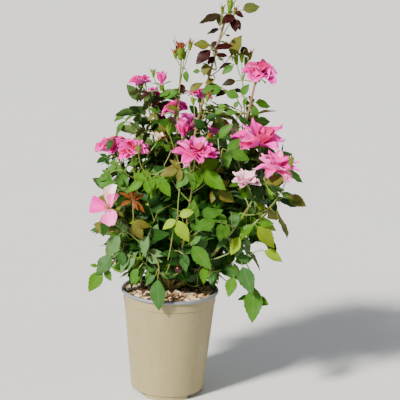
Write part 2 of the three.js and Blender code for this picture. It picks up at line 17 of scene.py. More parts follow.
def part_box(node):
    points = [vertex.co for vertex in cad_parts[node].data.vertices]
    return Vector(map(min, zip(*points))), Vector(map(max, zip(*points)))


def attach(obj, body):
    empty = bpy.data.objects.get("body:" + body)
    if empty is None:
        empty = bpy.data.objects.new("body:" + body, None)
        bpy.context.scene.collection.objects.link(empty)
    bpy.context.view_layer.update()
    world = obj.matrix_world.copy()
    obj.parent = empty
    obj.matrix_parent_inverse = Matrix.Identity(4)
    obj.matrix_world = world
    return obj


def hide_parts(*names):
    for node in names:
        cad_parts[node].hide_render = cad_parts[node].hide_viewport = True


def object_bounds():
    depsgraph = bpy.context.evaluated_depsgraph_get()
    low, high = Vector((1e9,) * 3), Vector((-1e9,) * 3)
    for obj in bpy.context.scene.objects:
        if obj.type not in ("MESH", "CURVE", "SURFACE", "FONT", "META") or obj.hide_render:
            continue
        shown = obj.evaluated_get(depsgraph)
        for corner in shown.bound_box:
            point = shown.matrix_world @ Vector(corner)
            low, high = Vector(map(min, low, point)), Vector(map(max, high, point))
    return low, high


bl_info = {
    "name": "Potted shrub rose",
    "version": (1, 0, 0),
    "blender": (4, 5, 0),
    "location": "View3D > Sidebar > Rose",
    "description": "Builds a flowering shrub rose in a nursery pot, leaf by leaf",
    "category": "Add Mesh",
}

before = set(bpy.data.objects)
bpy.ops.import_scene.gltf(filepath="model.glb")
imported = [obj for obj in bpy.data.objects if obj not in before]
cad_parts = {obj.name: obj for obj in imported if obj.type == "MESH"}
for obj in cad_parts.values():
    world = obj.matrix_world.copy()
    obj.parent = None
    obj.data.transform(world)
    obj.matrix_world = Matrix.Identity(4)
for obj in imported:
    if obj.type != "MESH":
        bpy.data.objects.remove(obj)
CAD_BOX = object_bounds()
MM = 0.001
ROOT = "root"
UP = Vector((0, 0, 1))

# The pot, the compost and the limbs, as in the part's source
POT_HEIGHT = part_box("pot")[1].z / MM
RIM_RADIUS = 96
RIM_BEAD = 6.4
WALL = 1.6
WALL_TOP_RADIUS = 91.5
SHOULDER_DROP = 24
BASE_RADIUS = 72
FOOT_HEIGHT = 8
FOOT_INSET = 1.6
FOOT_COUNT = 3
FOOT_ANGLE = 70
FLOOR_THICKNESS = 2.4
PAD_RADIUS = 40
DRAIN_HOLES = 5
DRAIN_RADIUS = 5
DRAIN_RING = 55
COMPOST_TOP = 194
COMPOST_MOUND = 4
STOCK_HEIGHT = 56
STOCK_RADIUS = 12.5
STOCK_LEAN = 3
CANE_RADIUS = 3.8
STEM_RADIUS = 2.6
TIP_RADIUS = 1.3
# The radii of the thinner limbs, where they start and where they end
TWIG = (1.3, 0.7)
SHOWN_STEM = (1.4, 1.1)
SHOWN_STEM_FOOT = (1.6, 1.4)
PLACED_STALK = (1.2, 0.9)
FLOWER_STALK = (1.4, 1.3)
BUNCH_STEM = (1.5, 1.2)
BUD_STALK = (1.1, 0.8)
STRAY_STALK = (1.2, 0.8)

# The finishes of stems, petals and calyces and the looks of a bud, as numbers. A bud is closed and
# green, or its petals show, or it is closed and its sepals are red.
TAN, GREEN, RED = range(3)
# The deep petal finish is painted shade, for inner petals that the outer ones shade
PINK, SHADED_HEART, PALE, CREAM, LIGHT, WINE, BLUSH, FAINT = range(8)
GREEN_CALYX, RED_CALYX = range(2)
CLOSED, OPENING, REDDENED = range(3)
BUD_RADIUS = 10

# How shoots branch, as in the part's source
TWIG_OUT = 0.66
TWIG_ON = 0.4
TWIG_UP = 0.3
NODE_TURN = 137.5
LEAF_STALK = 46
LEAF_DROOP = 0.45
FACES_OUT = 1.2
LEAF_LIFT = 58

# The photograph shows the bark chips over the front of the rim: no grown leaf hangs below a line
# of sight that passes the front of the rim at this height and falls by this slope
GAP_TOP = 275
GAP_SLOPE = 0.235
GAP_HALF_WIDTH = 104
GAP_BACK = 24
# The lowest that a grown leaf hangs before and behind the pot
LOW_FRONT = 214
LOW_BACK = 196
# Below this height few leaves stay in the way of the light that falls on the chips that show,
# which lie before LIT_BACK
LIGHT_WAY_TOP = 330
LIGHT_WAY_SHARE = 0.06
LIT_BACK = 34
# The height from which the leaves get smaller, and the one from which the tall shoots stand alone
SMALL_FROM = 500
TOP_LEAVES_FROM = 600
# The share of leaves that stay above each height
STAY_SHARES = ((605, 0.16), (582, 0.75), (0, 1))
# The leafy part of the crown as an ellipsoid, inside of which the leaves are darker: painted shade
CROWN_MIDDLE = (43, 0, 380)
CROWN_RADII = (200, 182, 230)
# How near a leaf comes to the pot, the compost and the crown's box, and its rooms at the rim
CLEARANCE = 8
RIM_ROOM_IN = 14
RIM_ROOM_OUT = 10
# The room round a flower and before it, as shares of its radius, and how far that reaches
HEART_ROOM = 0.9
FACE_ROOM = 0.8
FACE_REACH = 70

# Each shoot: where it leaves the rootstock (angle, height), its tip (angle, reach, height), how
# early it leans out, how much it climbs first, its bare share, its side twigs and their length.
Shoot = namedtuple(
    "Shoot", "name base_angle base_height angle reach height lean climb bare twigs twig_length")
SHOOTS = [Shoot(*row) for row in (
    ("tall", 25, 50, 2, 92, 746, 0.25, 0.5, 0.42, 2, 70),
    ("bud", -115, 50, -50, 14, 668, 1.6, 0.5, 0.5, 2, 62),
    ("back_tall", 112, 50, 134, 88, 606, 0.5, 0.45, 0.42, 3, 70),
    ("right_tall", -2, 34, -8, 150, 622, 0.75, 0.4, 0.44, 2, 70),
    ("left", -158, 38, -146, 112, 372, 0.7, 0.5, 0.42, 3, 60),
    ("back_left", 156, 28, 172, 106, 462, 0.8, 0.4, 0.42, 3, 64),
    ("back_right", 55, 34, 44, 140, 490, 0.85, 0.4, 0.42, 2, 64),
    ("front", -76, 20, -70, 116, 488, 0.95, 0.42, 0.42, 3, 68),
    ("front_left", -128, 20, -142, 97, 482, 0.85, 0.42, 0.42, 3, 64),
    ("right", -10, 28, -19, 172, 508, 0.85, 0.34, 0.42, 3, 66),
    ("front_right", -52, 16, -33, 204, 464, 0.72, 0.4, 0.42, 3, 66),
    ("back", 88, 22, 84, 118, 505, 0.85, 0.4, 0.42, 2, 66),
    ("low_front", -94, 8, -98, 88, 262, 0.5, 0.85, 0, 3, 54),
    ("low_front_left", -155, 9, -158, 86, 284, 0.5, 0.85, 0, 3, 54),
    ("low_back_left", 150, 9, 150, 86, 290, 0.5, 0.8, 0, 3, 56),
    ("low_back", 100, 9, 98, 92, 280, 0.5, 0.85, 0, 3, 56),
    ("low_back_right", 30, 9, 34, 112, 292, 0.5, 0.8, 0, 3, 56),
    ("low_right", -22, 8, -28, 128, 266, 0.5, 0.95, 0, 3, 56),
)]

# Each flower head: its shoot, the share where its stalk starts, the place of its heart (angle,
# reach, height), its kind, its radius, the way it faces (angle, degrees from straight up) and
# the colour of an open one where it isn't pink.
Flower = namedtuple(
    "Flower", "name shoot start angle reach height kind radius faces tilt tint", defaults=(PINK,))
FLOWERS = [Flower(*row) for row in (
    ("tall_buds", "tall", 1, 2, 93, 760, "buds", 10, 0, 0),
    ("bud_buds", "bud", 1, -50, 14, 682, "buds", 9, 180, 12),
    ("right_tall_bloom", "right_tall", 1, -8, 159, 645, "open", 35, -60, 40),
    ("right_tall_buds", "right_tall", 0.82, 4, 126, 664, "buds", 8, 60, 8),
    ("back_tall_bloom", "back_tall", 1, 137, 97, 609, "open", 22, 120, 36),
    ("crown_bloom", "back_tall", 0.6, 96, 18, 564, "open", 27, 200, 25),
    ("crown_side_bloom", "tall", 0.62, 42, 64, 590, "open", 26, 60, 35),
    ("crown_opening", "bud", 0.8, -142, 34, 618, "half", 13, -140, 12),
    ("front_bloom", "front", 1, -69, 118, 507, "open", 38, -80, 48),
    ("front_side_bloom", "front", 0.85, -76, 71, 530, "half", 18, -100, 30),
    ("front_left_bloom", "front_left", 1, -141, 97, 497, "open", 31, -110, 46),
    ("right_bloom", "right", 1, -20, 172, 528, "open", 44, -60, 40),
    ("front_right_bloom", "front_right", 1, -31, 222, 488, "open", 36, -60, 34, LIGHT),
    ("front_right_pale", "front_right", 0.84, -43, 184, 460, "open", 24, -90, 58, PALE),
    ("left_pale", "left", 1, -143, 148, 388, "fading", 31, -120, 62),
    ("back_left_bloom", "back_left", 1, 172, 122, 488, "open", 38, 175, 45),
    ("back_bloom", "back", 1, 84, 123, 514, "open", 41, 90, 62),
    ("back_right_bloom", "back_right", 1, 44, 143, 508, "open", 39, 45, 45),
    ("back_side_bloom", "back", 0.84, 112, 118, 560, "half", 19, 110, 22),
    ("front_spent", "front_left", 0.85, -120, 62, 512, "spent", 14, -60, 25),
)]

# Leaves that the photograph shows one by one: the foot of the stalk, the tip of the end leaflet,
# the number of leaflets (0 for one that is seen on edge) and the colour.
PLACED_LEAVES = (
    ((-22, -98, 260), (-22, -112, 197), 1, "blue"),
    ((-26, -78, 258), (-49, -82, 238), 1, "blue"),
    ((-24, -62, 265), (-52, -68, 268), 1, "blue"),
    ((-21, -60, 256), (15, -64, 254), 1, "blue"),
    ((-22, -60, 266), (4, -64, 283), 1, "mature"),
    ((161, -78, 246), (160, -90, 172), 1, "mature"),
    ((163, -76, 219), (190, -84, 206), 1, "fresh"),
    ((156, -76, 219), (130, -82, 216), 1, "mature"),
    ((135, -86, 286), (158, -98, 232), 1, "blue"),
    ((127, -86, 306), (149, -94, 290), 1, "blue"),
    ((121, -86, 265), (115, -94, 222), 1, "fresh"),
    ((-127, -58, 258), (-155, -66, 215), 1, "fresh"),
    ((-124, -58, 262), (-111, -62, 237), 1, "mature"),
    ((-110, -54, 290), (-143, -62, 250), 1, "blue"),
    ((-139, -56, 265), (-153, -60, 269), 1, "fresh"),
    ((-96, -66, 302), (-88, -72, 266), 1, "blue"),
    ((-96, -66, 333), (-124, -74, 293), 1, "sky_sheen"),
    ((-41, -84, 339), (-57, -92, 298), 1, "sky_sheen"),
    ((-58, -78, 271), (-78, -84, 241), 1, "mature"),
    ((37, -104, 328), (78, -114, 282), 1, "mature"),
    ((34, -104, 328), (56, -108, 346), 1, "mature"),
    ((68, -98, 287), (62, -104, 248), 1, "fresh"),
    ((24, -92, 304), (37, -98, 283), 1, "blue"),
    ((10, -110, 377), (30, -120, 332), 1, "lime"),
    ((13, -110, 381), (43, -114, 394), 1, "lime"),
    ((11, -110, 375), (-17, -114, 357), 1, "lime"),
    ((-71, -90, 365), (-52, -100, 330), 1, "olive"),
    ((-70, -90, 363), (-39, -96, 357), 1, "olive"),
    ((157, -100, 367), (196, -110, 327), 1, "autumn"),
    ((156, -100, 369), (123, -106, 338), 1, "fresh"),
    ((130, -100, 345), (113, -106, 308), 1, "lime"),
    ((160, -98, 371), (192, -100, 370), 1, "fresh"),
    ((173, -88, 316), (213, -96, 299), 1, "lime"),
    ((127, -98, 387), (103, -104, 359), 1, "blue"),
    ((110, -98, 338), (83, -102, 324), 1, "blue"),
    ((-117, -20, 507), (-126, -30, 484), 1, "deep_shade"),
    ((-124, -20, 473), (-147, -30, 460), 3, "deep_shade"),
    ((-101, -40, 466), (-128, -50, 441), 3, "mature"),
    ((-117, -50, 447), (-141, -56, 433), 3, "mature"),
    ((-32, -98, 453), (-85, -110, 426), 5, "fresh"),
    ((-27, -102, 458), (-3, -114, 418), 3, "fresh"),
    ((21, -108, 472), (-24, -118, 461), 3, "olive"),
    ((41, -108, 478), (99, -122, 436), 3, "fresh"),
    ((36, -110, 469), (6, -120, 436), 3, "mature"),
    ((75, -92, 437), (117, -102, 410), 3, "olive"),
    ((-73, -86, 404), (-99, -96, 420), 1, "bronze"),
    ((-74, -86, 403), (-99, -96, 394), 1, "bronze"),
    ((-72, -86, 404), (-84, -96, 429), 1, "bronze"),
    ((-72, -86, 404), (-66, -96, 425), 1, "bronze"),
    ((-72, -86, 404), (-49, -96, 418), 1, "bronze"),
    ((-71, -86, 404), (-49, -96, 382), 1, "bronze"),
    ((-72, -86, 403), (-60, -98, 386), 1, "bronze"),
    ((-72, -86, 402), (-70, -96, 386), 1, "bronze"),
    ((214, -80, 420), (251, -95, 406), 1, "olive"),
    ((82, 0, 747), (40, -8, 726), 0, "backlit_shade"),
    ((118, 0, 754), (154, 4, 765), 1, "sage"),
    ((81, 0, 746), (79, -12, 724), 1, "sage"),
    ((106, -2, 746), (81, -14, 730), 1, "wine"),
    ((106, -2, 752), (123, -10, 742), 1, "wine"),
    ((106, -4, 741), (107, -12, 714), 1, "wine"),
    ((107, 2, 739), (118, -4, 717), 1, "backlit_shade"),
    ((79, 0, 719), (54, 4, 707), 0, "backlit_shade"),
    ((90, 0, 708), (100, -6, 705), 0, "backlit_shade"),
    ((65, -8, 681), (36, -20, 653), 1, "wine"),
    ((67, -6, 683), (107, -14, 687), 0, "wine"),
    ((71, -6, 668), (57, -12, 653), 1, "wine"),
    ((72, -6, 671), (97, -12, 667), 0, "wine"),
    ((64, -6, 685), (75, -6, 697), 1, "wine"),
    ((63, -6, 688), (29, -10, 688), 1, "olive"),
    ((100, 10, 666), (120, -2, 709), 1, "olive"),
    ((121, 6, 687), (134, -2, 668), 1, "backlit_shade"),
    ((57, -4, 655), (53, -16, 629), 1, "olive"),
    ((50, -2, 653), (65, -8, 631), 1, "olive"),
    ((108, -2, 651), (85, -8, 635), 1, "mature"),
    ((102, 4, 654), (80, 0, 643), 0, "backlit_shade"),
    ((73, -2, 624), (54, -8, 616), 1, "olive"),
    ((114, -2, 622), (86, -8, 616), 1, "backlit_shade"),
    ((99, -2, 602), (74, -8, 593), 1, "backlit_shade"),
    ((94, -4, 601), (121, -10, 592), 1, "mature"),
    ((108, 4, 605), (135, 0, 599), 0, "backlit_shade"),
    ((19, -10, 640), (19, -16, 617), 1, "mature"),
    ((26, -6, 598), (49, -10, 620), 1, "olive"),
    ((89, -8, 608), (48, -16, 603), 1, "mature"),
    ((8, -10, 615), (16, -14, 594), 1, "wine"),
    ((45, -8, 639), (30, -10, 638), 1, "mature"),
    ((52, -10, 598), (71, -16, 608), 1, "mature"),
    ((74, -30, 562), (93, -36, 575), 1, "fresh"),
    ((94, -30, 563), (115, -36, 568), 1, "mature"),
    ((58, -30, 553), (80, -36, 563), 1, "deep_shade"),
    ((111, -20, 573), (119, -20, 587), 1, "mature"),
    ((-49, 0, 596), (-65, -8, 585), 1, "wine"),
    ((-9, -20, 600), (-31, -26, 592), 1, "mature"),
    ((-36, -30, 558), (-52, -38, 548), 3, "olive"),
    ((-29, -40, 540), (-17, -46, 522), 1, "olive"),
    ((124, -10, 595), (137, -16, 619), 1, "mature"),
    ((-28, -20, 590), (6, -28, 602), 1, "mature"),
    ((148, -20, 581), (154, -28, 551), 1, "mature"),
    ((82, -70, 521), (107, -78, 553), 1, "mature"),
    ((91, -88, 507), (142, -96, 490), 3, "mature"),
    ((128, -10, 578), (135, -18, 593), 1, "mature"),
    ((77, -20, 572), (96, -28, 578), 1, "fresh"),
    ((43, -20, 559), (26, -28, 577), 1, "deep_shade"),
    ((58, -40, 537), (35, -48, 552), 1, "deep_shade"),
    ((119, -40, 559), (139, -48, 547), 1, "deep_shade"),
    ((6, -20, 564), (-16, -28, 576), 1, "olive"),
    ((-30, -20, 557), (-47, -28, 569), 3, "mature"),
    ((-5, -80, 497), (-16, -88, 512), 1, "mature"),
    ((205, -132, 461), (168, -140, 457), 1, "olive"),
)

# Stems that the photograph shows before the leaves: three points that each passes through
SHOWN_STEMS = (
    ((14, -100, 430), (12, -104, 402), (13, -106, 376)),
    ((4, -100, 352), (1, -98, 323), (-4, -92, 292)),
    ((-73, -84, 400), (-72, -84, 383), (-70, -86, 362)),
    ((-102, -80, 352), (-76, -78, 335), (-47, -74, 309)),
    ((-41, -80, 303), (-24, -88, 287), (-21, -92, 262)),
    ((180, -96, 394), (157, -98, 372), (130, -98, 345)),
    ((108, -90, 307), (86, -86, 296), (69, -80, 291)),
    ((75, -4, 644), (71, -4, 664), (67, -4, 680)),
    ((134, -84, 300), (156, -80, 262), (160, -78, 222)),
    ((-92, -54, 300), (-112, -56, 282), (-128, -58, 256)),
    ((-28, -98, 458), (6, -104, 478), (36, -108, 488)),
)
HIP = (16, -86, 273)

# The leaf colours: face, underside, vein and margin
LEAF_SHADES = {
    "mature": ("#406A1E", "#607E40", "#6A8E34", "#366018"),
    "blue": ("#365C28", "#5A784C", "#62884A", "#30561E"),
    "fresh": ("#426E0C", "#6E8E3A", "#78982C", "#3A6608"),
    "lime": ("#7E9C16", "#90A842", "#A4B844", "#6E8E12"),
    "olive": ("#5A6422", "#6C7434", "#807E34", "#5C4218"),
    "bronze": ("#78481C", "#6C4022", "#98682E", "#5A2A10"),
    "wine": ("#2C0703", "#3A2414", "#48160C", "#220503"),
    # A dark green: painted shade, for leaves deep in the crown
    "deep_shade": ("#1E4210", "#3A5628", "#3E5E24", "#18380C"),
    # A near-black green-brown: painted shade, for leaves seen from their unlit side
    "backlit_shade": ("#221E08", "#3E4222", "#463E1A", "#2E140A"),
    # A pale grey-green: painted reflection of the sky on glossy leaves
    "sky_sheen": ("#567846", "#6C8A5C", "#789660", "#4C6C3C"),
    "sage": ("#505626", "#66703E", "#6E763C", "#464C20"),
    "autumn": ("#6C8412", "#848C38", "#8E9630", "#707C16"),
}
SHADE_NAMES = list(LEAF_SHADES)

# Side veins of a leaflet from its foot to its tip, and how far they slant
SIDE_VEINS = 8
VEIN_SLANT = 26
# How often a petal's veins repeat across it and along it
PETAL_VEINS = (28, 2.2, 1)

# The camera that was fitted to the pot's rim and foot in the photograph
CAMERA_PLACE = (34.2, -2343, 924)
CAMERA_PITCH = 12.88
CAMERA_YAW = 0.46
CAMERA_ROLL = 1.97
CAMERA_LENS = 111.86
SENSOR = 36
# The way that the key light travels
KEY_AIM = (0.58, 0.58, -0.62)


def srgb(hex_colour):
    """A hex colour as linear red, green, blue and alpha."""
    parts = [int(hex_colour[i:i + 2], 16) / 255 for i in (1, 3, 5)]
    linear = [c / 12.92 if c <= 0.04045 else ((c + 0.055) / 1.055) ** 2.4 for c in parts]
    return (*linear, 1.0)


def polar(angle, reach, height):
    return Vector((
        reach * math.cos(math.radians(angle)), reach * math.sin(math.radians(angle)), height))


def wall(height):
    """The outer radius of the pot's wall at a height."""
    slope = (WALL_TOP_RADIUS - BASE_RADIUS) / (POT_HEIGHT - FOOT_HEIGHT)
    return BASE_RADIUS + slope * (height - FOOT_HEIGHT)


def seeded(seed):
    """Numbers that repeat from run to run, by the same rule as in the part's source."""
    state = seed * 7919 + 13
    while True:
        state = (state * 48271) % 2147483647
        yield state / 2147483647


class Dice:
    """One seeded row of numbers, drawn one at a time."""

    def __init__(self, seed):
        self.row = seeded(seed)

    def one(self):
        return next(self.row)

    def between(self, low, high):
        return low + (high - low) * next(self.row)

    def spread(self, size):
        return self.between(-size, size)

    def pick(self, items):
        return items[min(int(next(self.row) * len(items)), len(items) - 1)]


# Sizes and colours that a user would change

class RosePotSettings(bpy.types.PropertyGroup):
    sides: IntProperty(
        name="Sides", description="Faces round the pot", default=120, min=24, max=256)
    plastic: FloatVectorProperty(
        name="Plastic", description="Colour of the pot wall", subtype="COLOR",
        default=srgb("#A09267")[:3], min=0, max=1)
    # The rim's blue-grey is a painted reflection of the sky on the rolled rim
    rim_sky_reflection: FloatVectorProperty(
        name="Rim", description="Colour of the rolled rim", subtype="COLOR",
        default=srgb("#82868D")[:3], min=0, max=1)
    chips: IntProperty(
        name="Bark chips", description="Chips of bark that lie on the compost", default=1050,
        min=50, max=4000)


class RoseWoodSettings(bpy.types.PropertyGroup):
    relief: FloatProperty(
        name="Bark relief", description="How far the bark of the rootstock stands in and out",
        default=1.6 * MM, unit="LENGTH", min=0, max=0.01)
    cane: FloatVectorProperty(
        name="Cane", description="Colour of the bare canes", subtype="COLOR",
        default=srgb("#7A7442")[:3], min=0, max=1)
    prickle_spacing: FloatProperty(
        name="Prickle spacing", description="Length of cane from one prickle to the next",
        default=13 * MM, unit="LENGTH", min=0.003, max=0.1)


class RoseLeafSettings(bpy.types.PropertyGroup):
    length: FloatProperty(
        name="Leaflet", description="Length of a full grown end leaflet", default=52 * MM,
        unit="LENGTH", min=0.01, max=0.1)
    width: FloatProperty(
        name="Leaflet width", description="Width as a share of the length", default=0.56,
        subtype="FACTOR", min=0.2, max=0.9)
    spacing: FloatProperty(
        name="Leaf spacing", description="Length of stem from one leaf to the next",
        default=14 * MM, unit="LENGTH", min=0.005, max=0.1)
    twigs: IntProperty(
        name="Extra twigs", description="Side twigs on each shoot beyond those of the solids",
        default=4, min=0, max=12)


class RoseBloomSettings(bpy.types.PropertyGroup):
    petal: FloatVectorProperty(
        name="Petal", description="Colour of the open petals", subtype="COLOR",
        default=srgb("#E8049C")[:3], min=0, max=1)
    # The heart's darker pink is painted shade, where the outer petals shade the inner ones
    heart: FloatVectorProperty(
        name="Heart", description="Colour of the petals in the heart", subtype="COLOR",
        default=srgb("#C4005E")[:3], min=0, max=1)
    ruffle: FloatProperty(
        name="Ruffle", description="Wave of a petal's edge as a share of its length",
        default=0.055, subtype="FACTOR", min=0, max=0.3)


class RoseStageSettings(bpy.types.PropertyGroup):
    floor: FloatVectorProperty(
        name="Floor", description="Colour of the floor", subtype="COLOR",
        default=srgb("#E6E5E1")[:3], min=0, max=1)
    key: FloatProperty(
        name="Key light", description="Strength of the key light", default=7.8, min=0, max=50)
    fill: FloatProperty(
        name="Fill light", description="Strength of the light from all round", default=0.42,
        min=0, max=10)


# Materials

def node(tree, kind, inputs=(), out=0, stops=(), **settings):
    """Adds a shader node with its settings, its links and a ramp's stops of (position, level).

    An input that is given as a socket is linked, any other is set, and one output is given back."""
    made = tree.nodes.new("ShaderNode" + kind)
    for name, value in settings.items():
        setattr(made, name, value)
    for name, value in dict(inputs).items():
        if isinstance(value, bpy.types.NodeSocket):
            tree.links.new(value, made.inputs[name])
        else:
            made.inputs[name].default_value = value
    for number, (position, level) in enumerate(stops):
        point = made.color_ramp.elements[number]
        point.position = position
        point.color = (level, level, level, 1)
    return made.outputs[out]


def finish(name, **surface):
    """A material with one Principled shader whose constants are set, and its tree."""
    material = bpy.data.materials.new(name)
    material.use_nodes = True
    tree = material.node_tree
    shader = tree.nodes["Principled BSDF"]
    for key, value in surface.items():
        shader.inputs[key.replace("_", " ")].default_value = value
    return material, tree, shader


def grain(tree, size, detail=3.0, roughness=0.5, upright=1):
    """The unevenness of a skin, fixed to the piece: grains of a size in millimetres that are
    drawn out upright by a factor."""
    repeats = 1 / (size * MM)
    where = node(tree, "Mapping", {"Vector": node(tree, "TexCoord", out="Object"),
                                   "Scale": (repeats, repeats, repeats / upright)})
    return node(tree, "TexNoise", {
        "Vector": where, "Scale": 1.0, "Detail": detail, "Roughness": roughness})


def tinted(tree, tone, over, value, *stops):
    """Lays a second colour over a tone, by a share that follows a value between two stops."""
    share = node(tree, "ValToRGB", {"Fac": value}, stops=stops)
    return node(tree, "Mix", {0: share, 6: tone, 7: over}, out=2, data_type="RGBA")


def dressed(tree, shader, tone, height, depth, strength):
    """Joins the colour of a skin and its relief, with a depth in millimetres, to the shader."""
    relief = node(tree, "Bump", {"Height": height, "Distance": depth * MM, "Strength": strength})
    tree.links.new(relief, shader.inputs["Normal"])
    tree.links.new(tone, shader.inputs["Base Color"])


def pot_plastic(name, colour):
    """Polypropylene, injection moulded: an even satin wall with faint upright flow marks, worn
    clouds and a little dust."""
    material, tree, shader = finish(name, Roughness=0.46, IOR=1.49)
    flow = grain(tree, 6.667, upright=50)
    cloud = grain(tree, 71.43, 4.0)
    darker = (*(0.84 * c for c in colour), 1)
    dusty = (*(min(1, 1.22 * c + 0.02) for c in colour), 1)
    tone = tinted(tree, (*colour, 1), darker, flow, (0.36, 0.0), (0.66, 0.5))
    tone = tinted(tree, tone, darker, cloud, (0.4, 0.0), (0.75, 0.35))
    tone = tinted(tree, tone, dusty, grain(tree, 18.18, 5.0, 0.65), (0.52, 0.0), (0.74, 0.35))
    satin = node(tree, "ValToRGB", {"Fac": cloud}, stops=((0.3, 0.4), (0.7, 0.55)))
    tree.links.new(satin, shader.inputs["Roughness"])
    marks = node(tree, "Math", {0: flow, 1: 0.6, 2: grain(tree, 0.7143, 2.0)},
                 operation="MULTIPLY_ADD")
    dressed(tree, shader, tone, marks, 0.12, 0.6)
    return material


def bark_finish(name, base, dark, light, size, upright, depth):
    """Bark, grown: a matt skin with furrows of a width and paler ridges."""
    material, tree, shader = finish(name, Roughness=0.82)
    furrow = grain(tree, size, 5.0, 0.6, upright)
    tone = tinted(tree, srgb(base), srgb(dark), furrow, (0.35, 1.0), (0.55, 0.0))
    tone = tinted(tree, tone, srgb(light), grain(tree, 8.333), (0.5, 0.0), (0.72, 0.8))
    dressed(tree, shader, tone, furrow, depth, 0.8)
    return material


def stem_finish(name, base, flush, pores):
    """Young rose stem, grown: a smooth waxy skin, flushed in places, with pale pores. Real pores
    are finer, and these are as coarse as they need to be to show."""
    material, tree, shader = finish(name, Roughness=0.45)
    patch = grain(tree, 22.22)
    tone = tinted(tree, srgb(base), srgb(flush), patch, (0.4, 0.0), (0.65, 1.0))
    tone = tinted(tree, tone, srgb(pores), grain(tree, 0.9091, 2.0), (0.62, 0.0), (0.72, 0.8))
    dressed(tree, shader, tone, patch, 0.2, 0.4)
    return material


def leaf_finish(name, face, under, vein, margin):
    """Rose leaf, grown: a waxy face with sunk veins, a matt paler underside, tinted margins. On
    the face the UV map runs from 0 to 1 along the leaflet, and on the underside from 2 to 3."""
    material, tree, shader = finish(name, Roughness=0.42, IOR=1.42, Specular_IOR_Level=0.15)
    across = node(tree, "SeparateXYZ", {0: node(tree, "TexCoord", out="UV")})
    along = across.node.outputs[1]
    below = node(tree, "Math", {0: along, 1: 1.5}, operation="GREATER_THAN")
    off_middle = node(tree, "Math", {0: across, 1: 0.5}, operation="SUBTRACT")
    off_rib = node(tree, "Math", {0: off_middle}, operation="ABSOLUTE")
    slant = node(tree, "Math", {0: off_rib, 1: -VEIN_SLANT}, operation="MULTIPLY")
    turns = node(tree, "Math", {0: along, 1: 2 * math.pi * SIDE_VEINS, 2: slant},
                 operation="MULTIPLY_ADD")
    wave = node(tree, "Math", {0: turns}, operation="SINE")
    rib = node(tree, "ValToRGB", {"Fac": off_rib}, stops=((0.0, 1.0), (0.05, 0.0)))
    side_veins = node(tree, "ValToRGB", {"Fac": wave}, stops=((0.86, 0.0), (1.0, 0.3)))
    veins = node(tree, "Math", {0: rib, 1: side_veins}, operation="MAXIMUM")
    tone = tinted(tree, srgb(face), srgb(margin), grain(tree, 14.29), (0.35, 0.0), (0.7, 0.6))
    tone = tinted(tree, tone, srgb(margin), off_rib, (0.33, 0.0), (0.5, 0.75))
    tone = tinted(tree, tone, srgb(vein), veins, (0.0, 0.0), (1.0, 0.34))
    tone = tinted(tree, tone, srgb(under), below, (0.0, 0.0), (1.0, 1.0))
    wax = node(tree, "MapRange", {"Value": below, "To Min": 0.46, "To Max": 0.66})
    tree.links.new(wax, shader.inputs["Roughness"])
    furrows = node(tree, "Math", {0: wave, 1: -0.5}, operation="MULTIPLY")
    swell = node(tree, "Math", {0: furrows, 1: rib}, operation="SUBTRACT")
    dressed(tree, shader, tone, swell, 0.2, 0.25)
    return material


def petal_finish(name, colour, edge, foot):
    """Rose petal, grown: a soft velvety skin with fine veins, paler at its foot."""
    material, tree, shader = finish(
        name, Roughness=0.6, Specular_IOR_Level=0.25, Sheen_Weight=0.03, Subsurface_Weight=0.06,
        Subsurface_Radius=(0.004, 0.0012, 0.002), Subsurface_Scale=1.0)
    coords = node(tree, "TexCoord", out="UV")
    along = node(tree, "Math", {0: node(tree, "SeparateXYZ", {0: coords}, out=1)},
                 operation="FRACT")
    fanned = node(tree, "Mapping", {"Vector": coords, "Scale": PETAL_VEINS})
    veins = node(tree, "TexNoise", {"Vector": fanned, "Scale": 1.0, "Detail": 2.0})
    tone = tinted(tree, colour, edge, veins, (0.38, 0.0), (0.66, 0.7))
    tone = tinted(tree, tone, edge, along, (0.72, 0.0), (1.0, 0.5))
    tone = tinted(tree, tone, foot, along, (0.0, 0.6), (0.14, 0.0))
    dressed(tree, shader, tone, veins, 0.4, 0.5)
    return material


def speckled(name, base, other, size, roughness, depth=0.3):
    """A plain skin with spots of a second tone and of a size."""
    material, tree, shader = finish(name, Roughness=roughness)
    spots = grain(tree, size, 4.0, 0.6)
    tone = tinted(tree, srgb(base), srgb(other), spots, (0.4, 0.0), (0.65, 1.0))
    dressed(tree, shader, tone, spots, depth, 0.7)
    return material


def clouded(name, base, other, size, *stops, **surface):
    """A smooth skin whose colour drifts to a second tone in soft clouds of a size."""
    material, tree, shader = finish(name, **surface)
    tree.links.new(tinted(tree, base, other, grain(tree, size), *stops),
                   shader.inputs["Base Color"])
    return material


# Shapes as arrays

Form = namedtuple("Form", "points corners sizes uvs")


def ring_faces(rings, around):
    """The corners of the quads and caps of a tube whose rings run along +Y."""
    i, j = np.meshgrid(np.arange(rings - 1), np.arange(around), indexing="ij")
    nxt = (j + 1) % around
    quads = np.stack([i * around + j, i * around + nxt, (i + 1) * around + nxt,
                      (i + 1) * around + j], -1).reshape(-1)
    start = np.arange(around)[::-1]
    end = (rings - 1) * around + np.arange(around)
    corners = np.concatenate([quads, start, end])
    sizes = np.concatenate([np.full((rings - 1) * around, 4), [around, around]])
    return corners, sizes


def strip_faces(rings, across):
    """The corners of the triangles and caps of a thin strip. The diagonals over and under lie
    alike, so that the underside never comes through the face."""
    around = 2 * across - 2
    i, j = np.meshgrid(np.arange(rings - 1), np.arange(around), indexing="ij")
    nxt = (j + 1) % around
    low, low_next = i * around + j, i * around + nxt
    high, high_next = low + around, low_next + around
    over = j < across - 1
    first = np.where(over, (low, low_next, high_next), (low, low_next, high))
    second = np.where(over, (low, high_next, high), (low_next, high_next, high))
    triangles = np.concatenate([first.reshape(3, -1).T, second.reshape(3, -1).T])
    start = np.arange(around)[::-1]
    end = (rings - 1) * around + np.arange(around)
    corners = np.concatenate([triangles.reshape(-1), start, end])
    sizes = np.concatenate([np.full(len(triangles), 3), [around, around]])
    return corners, sizes


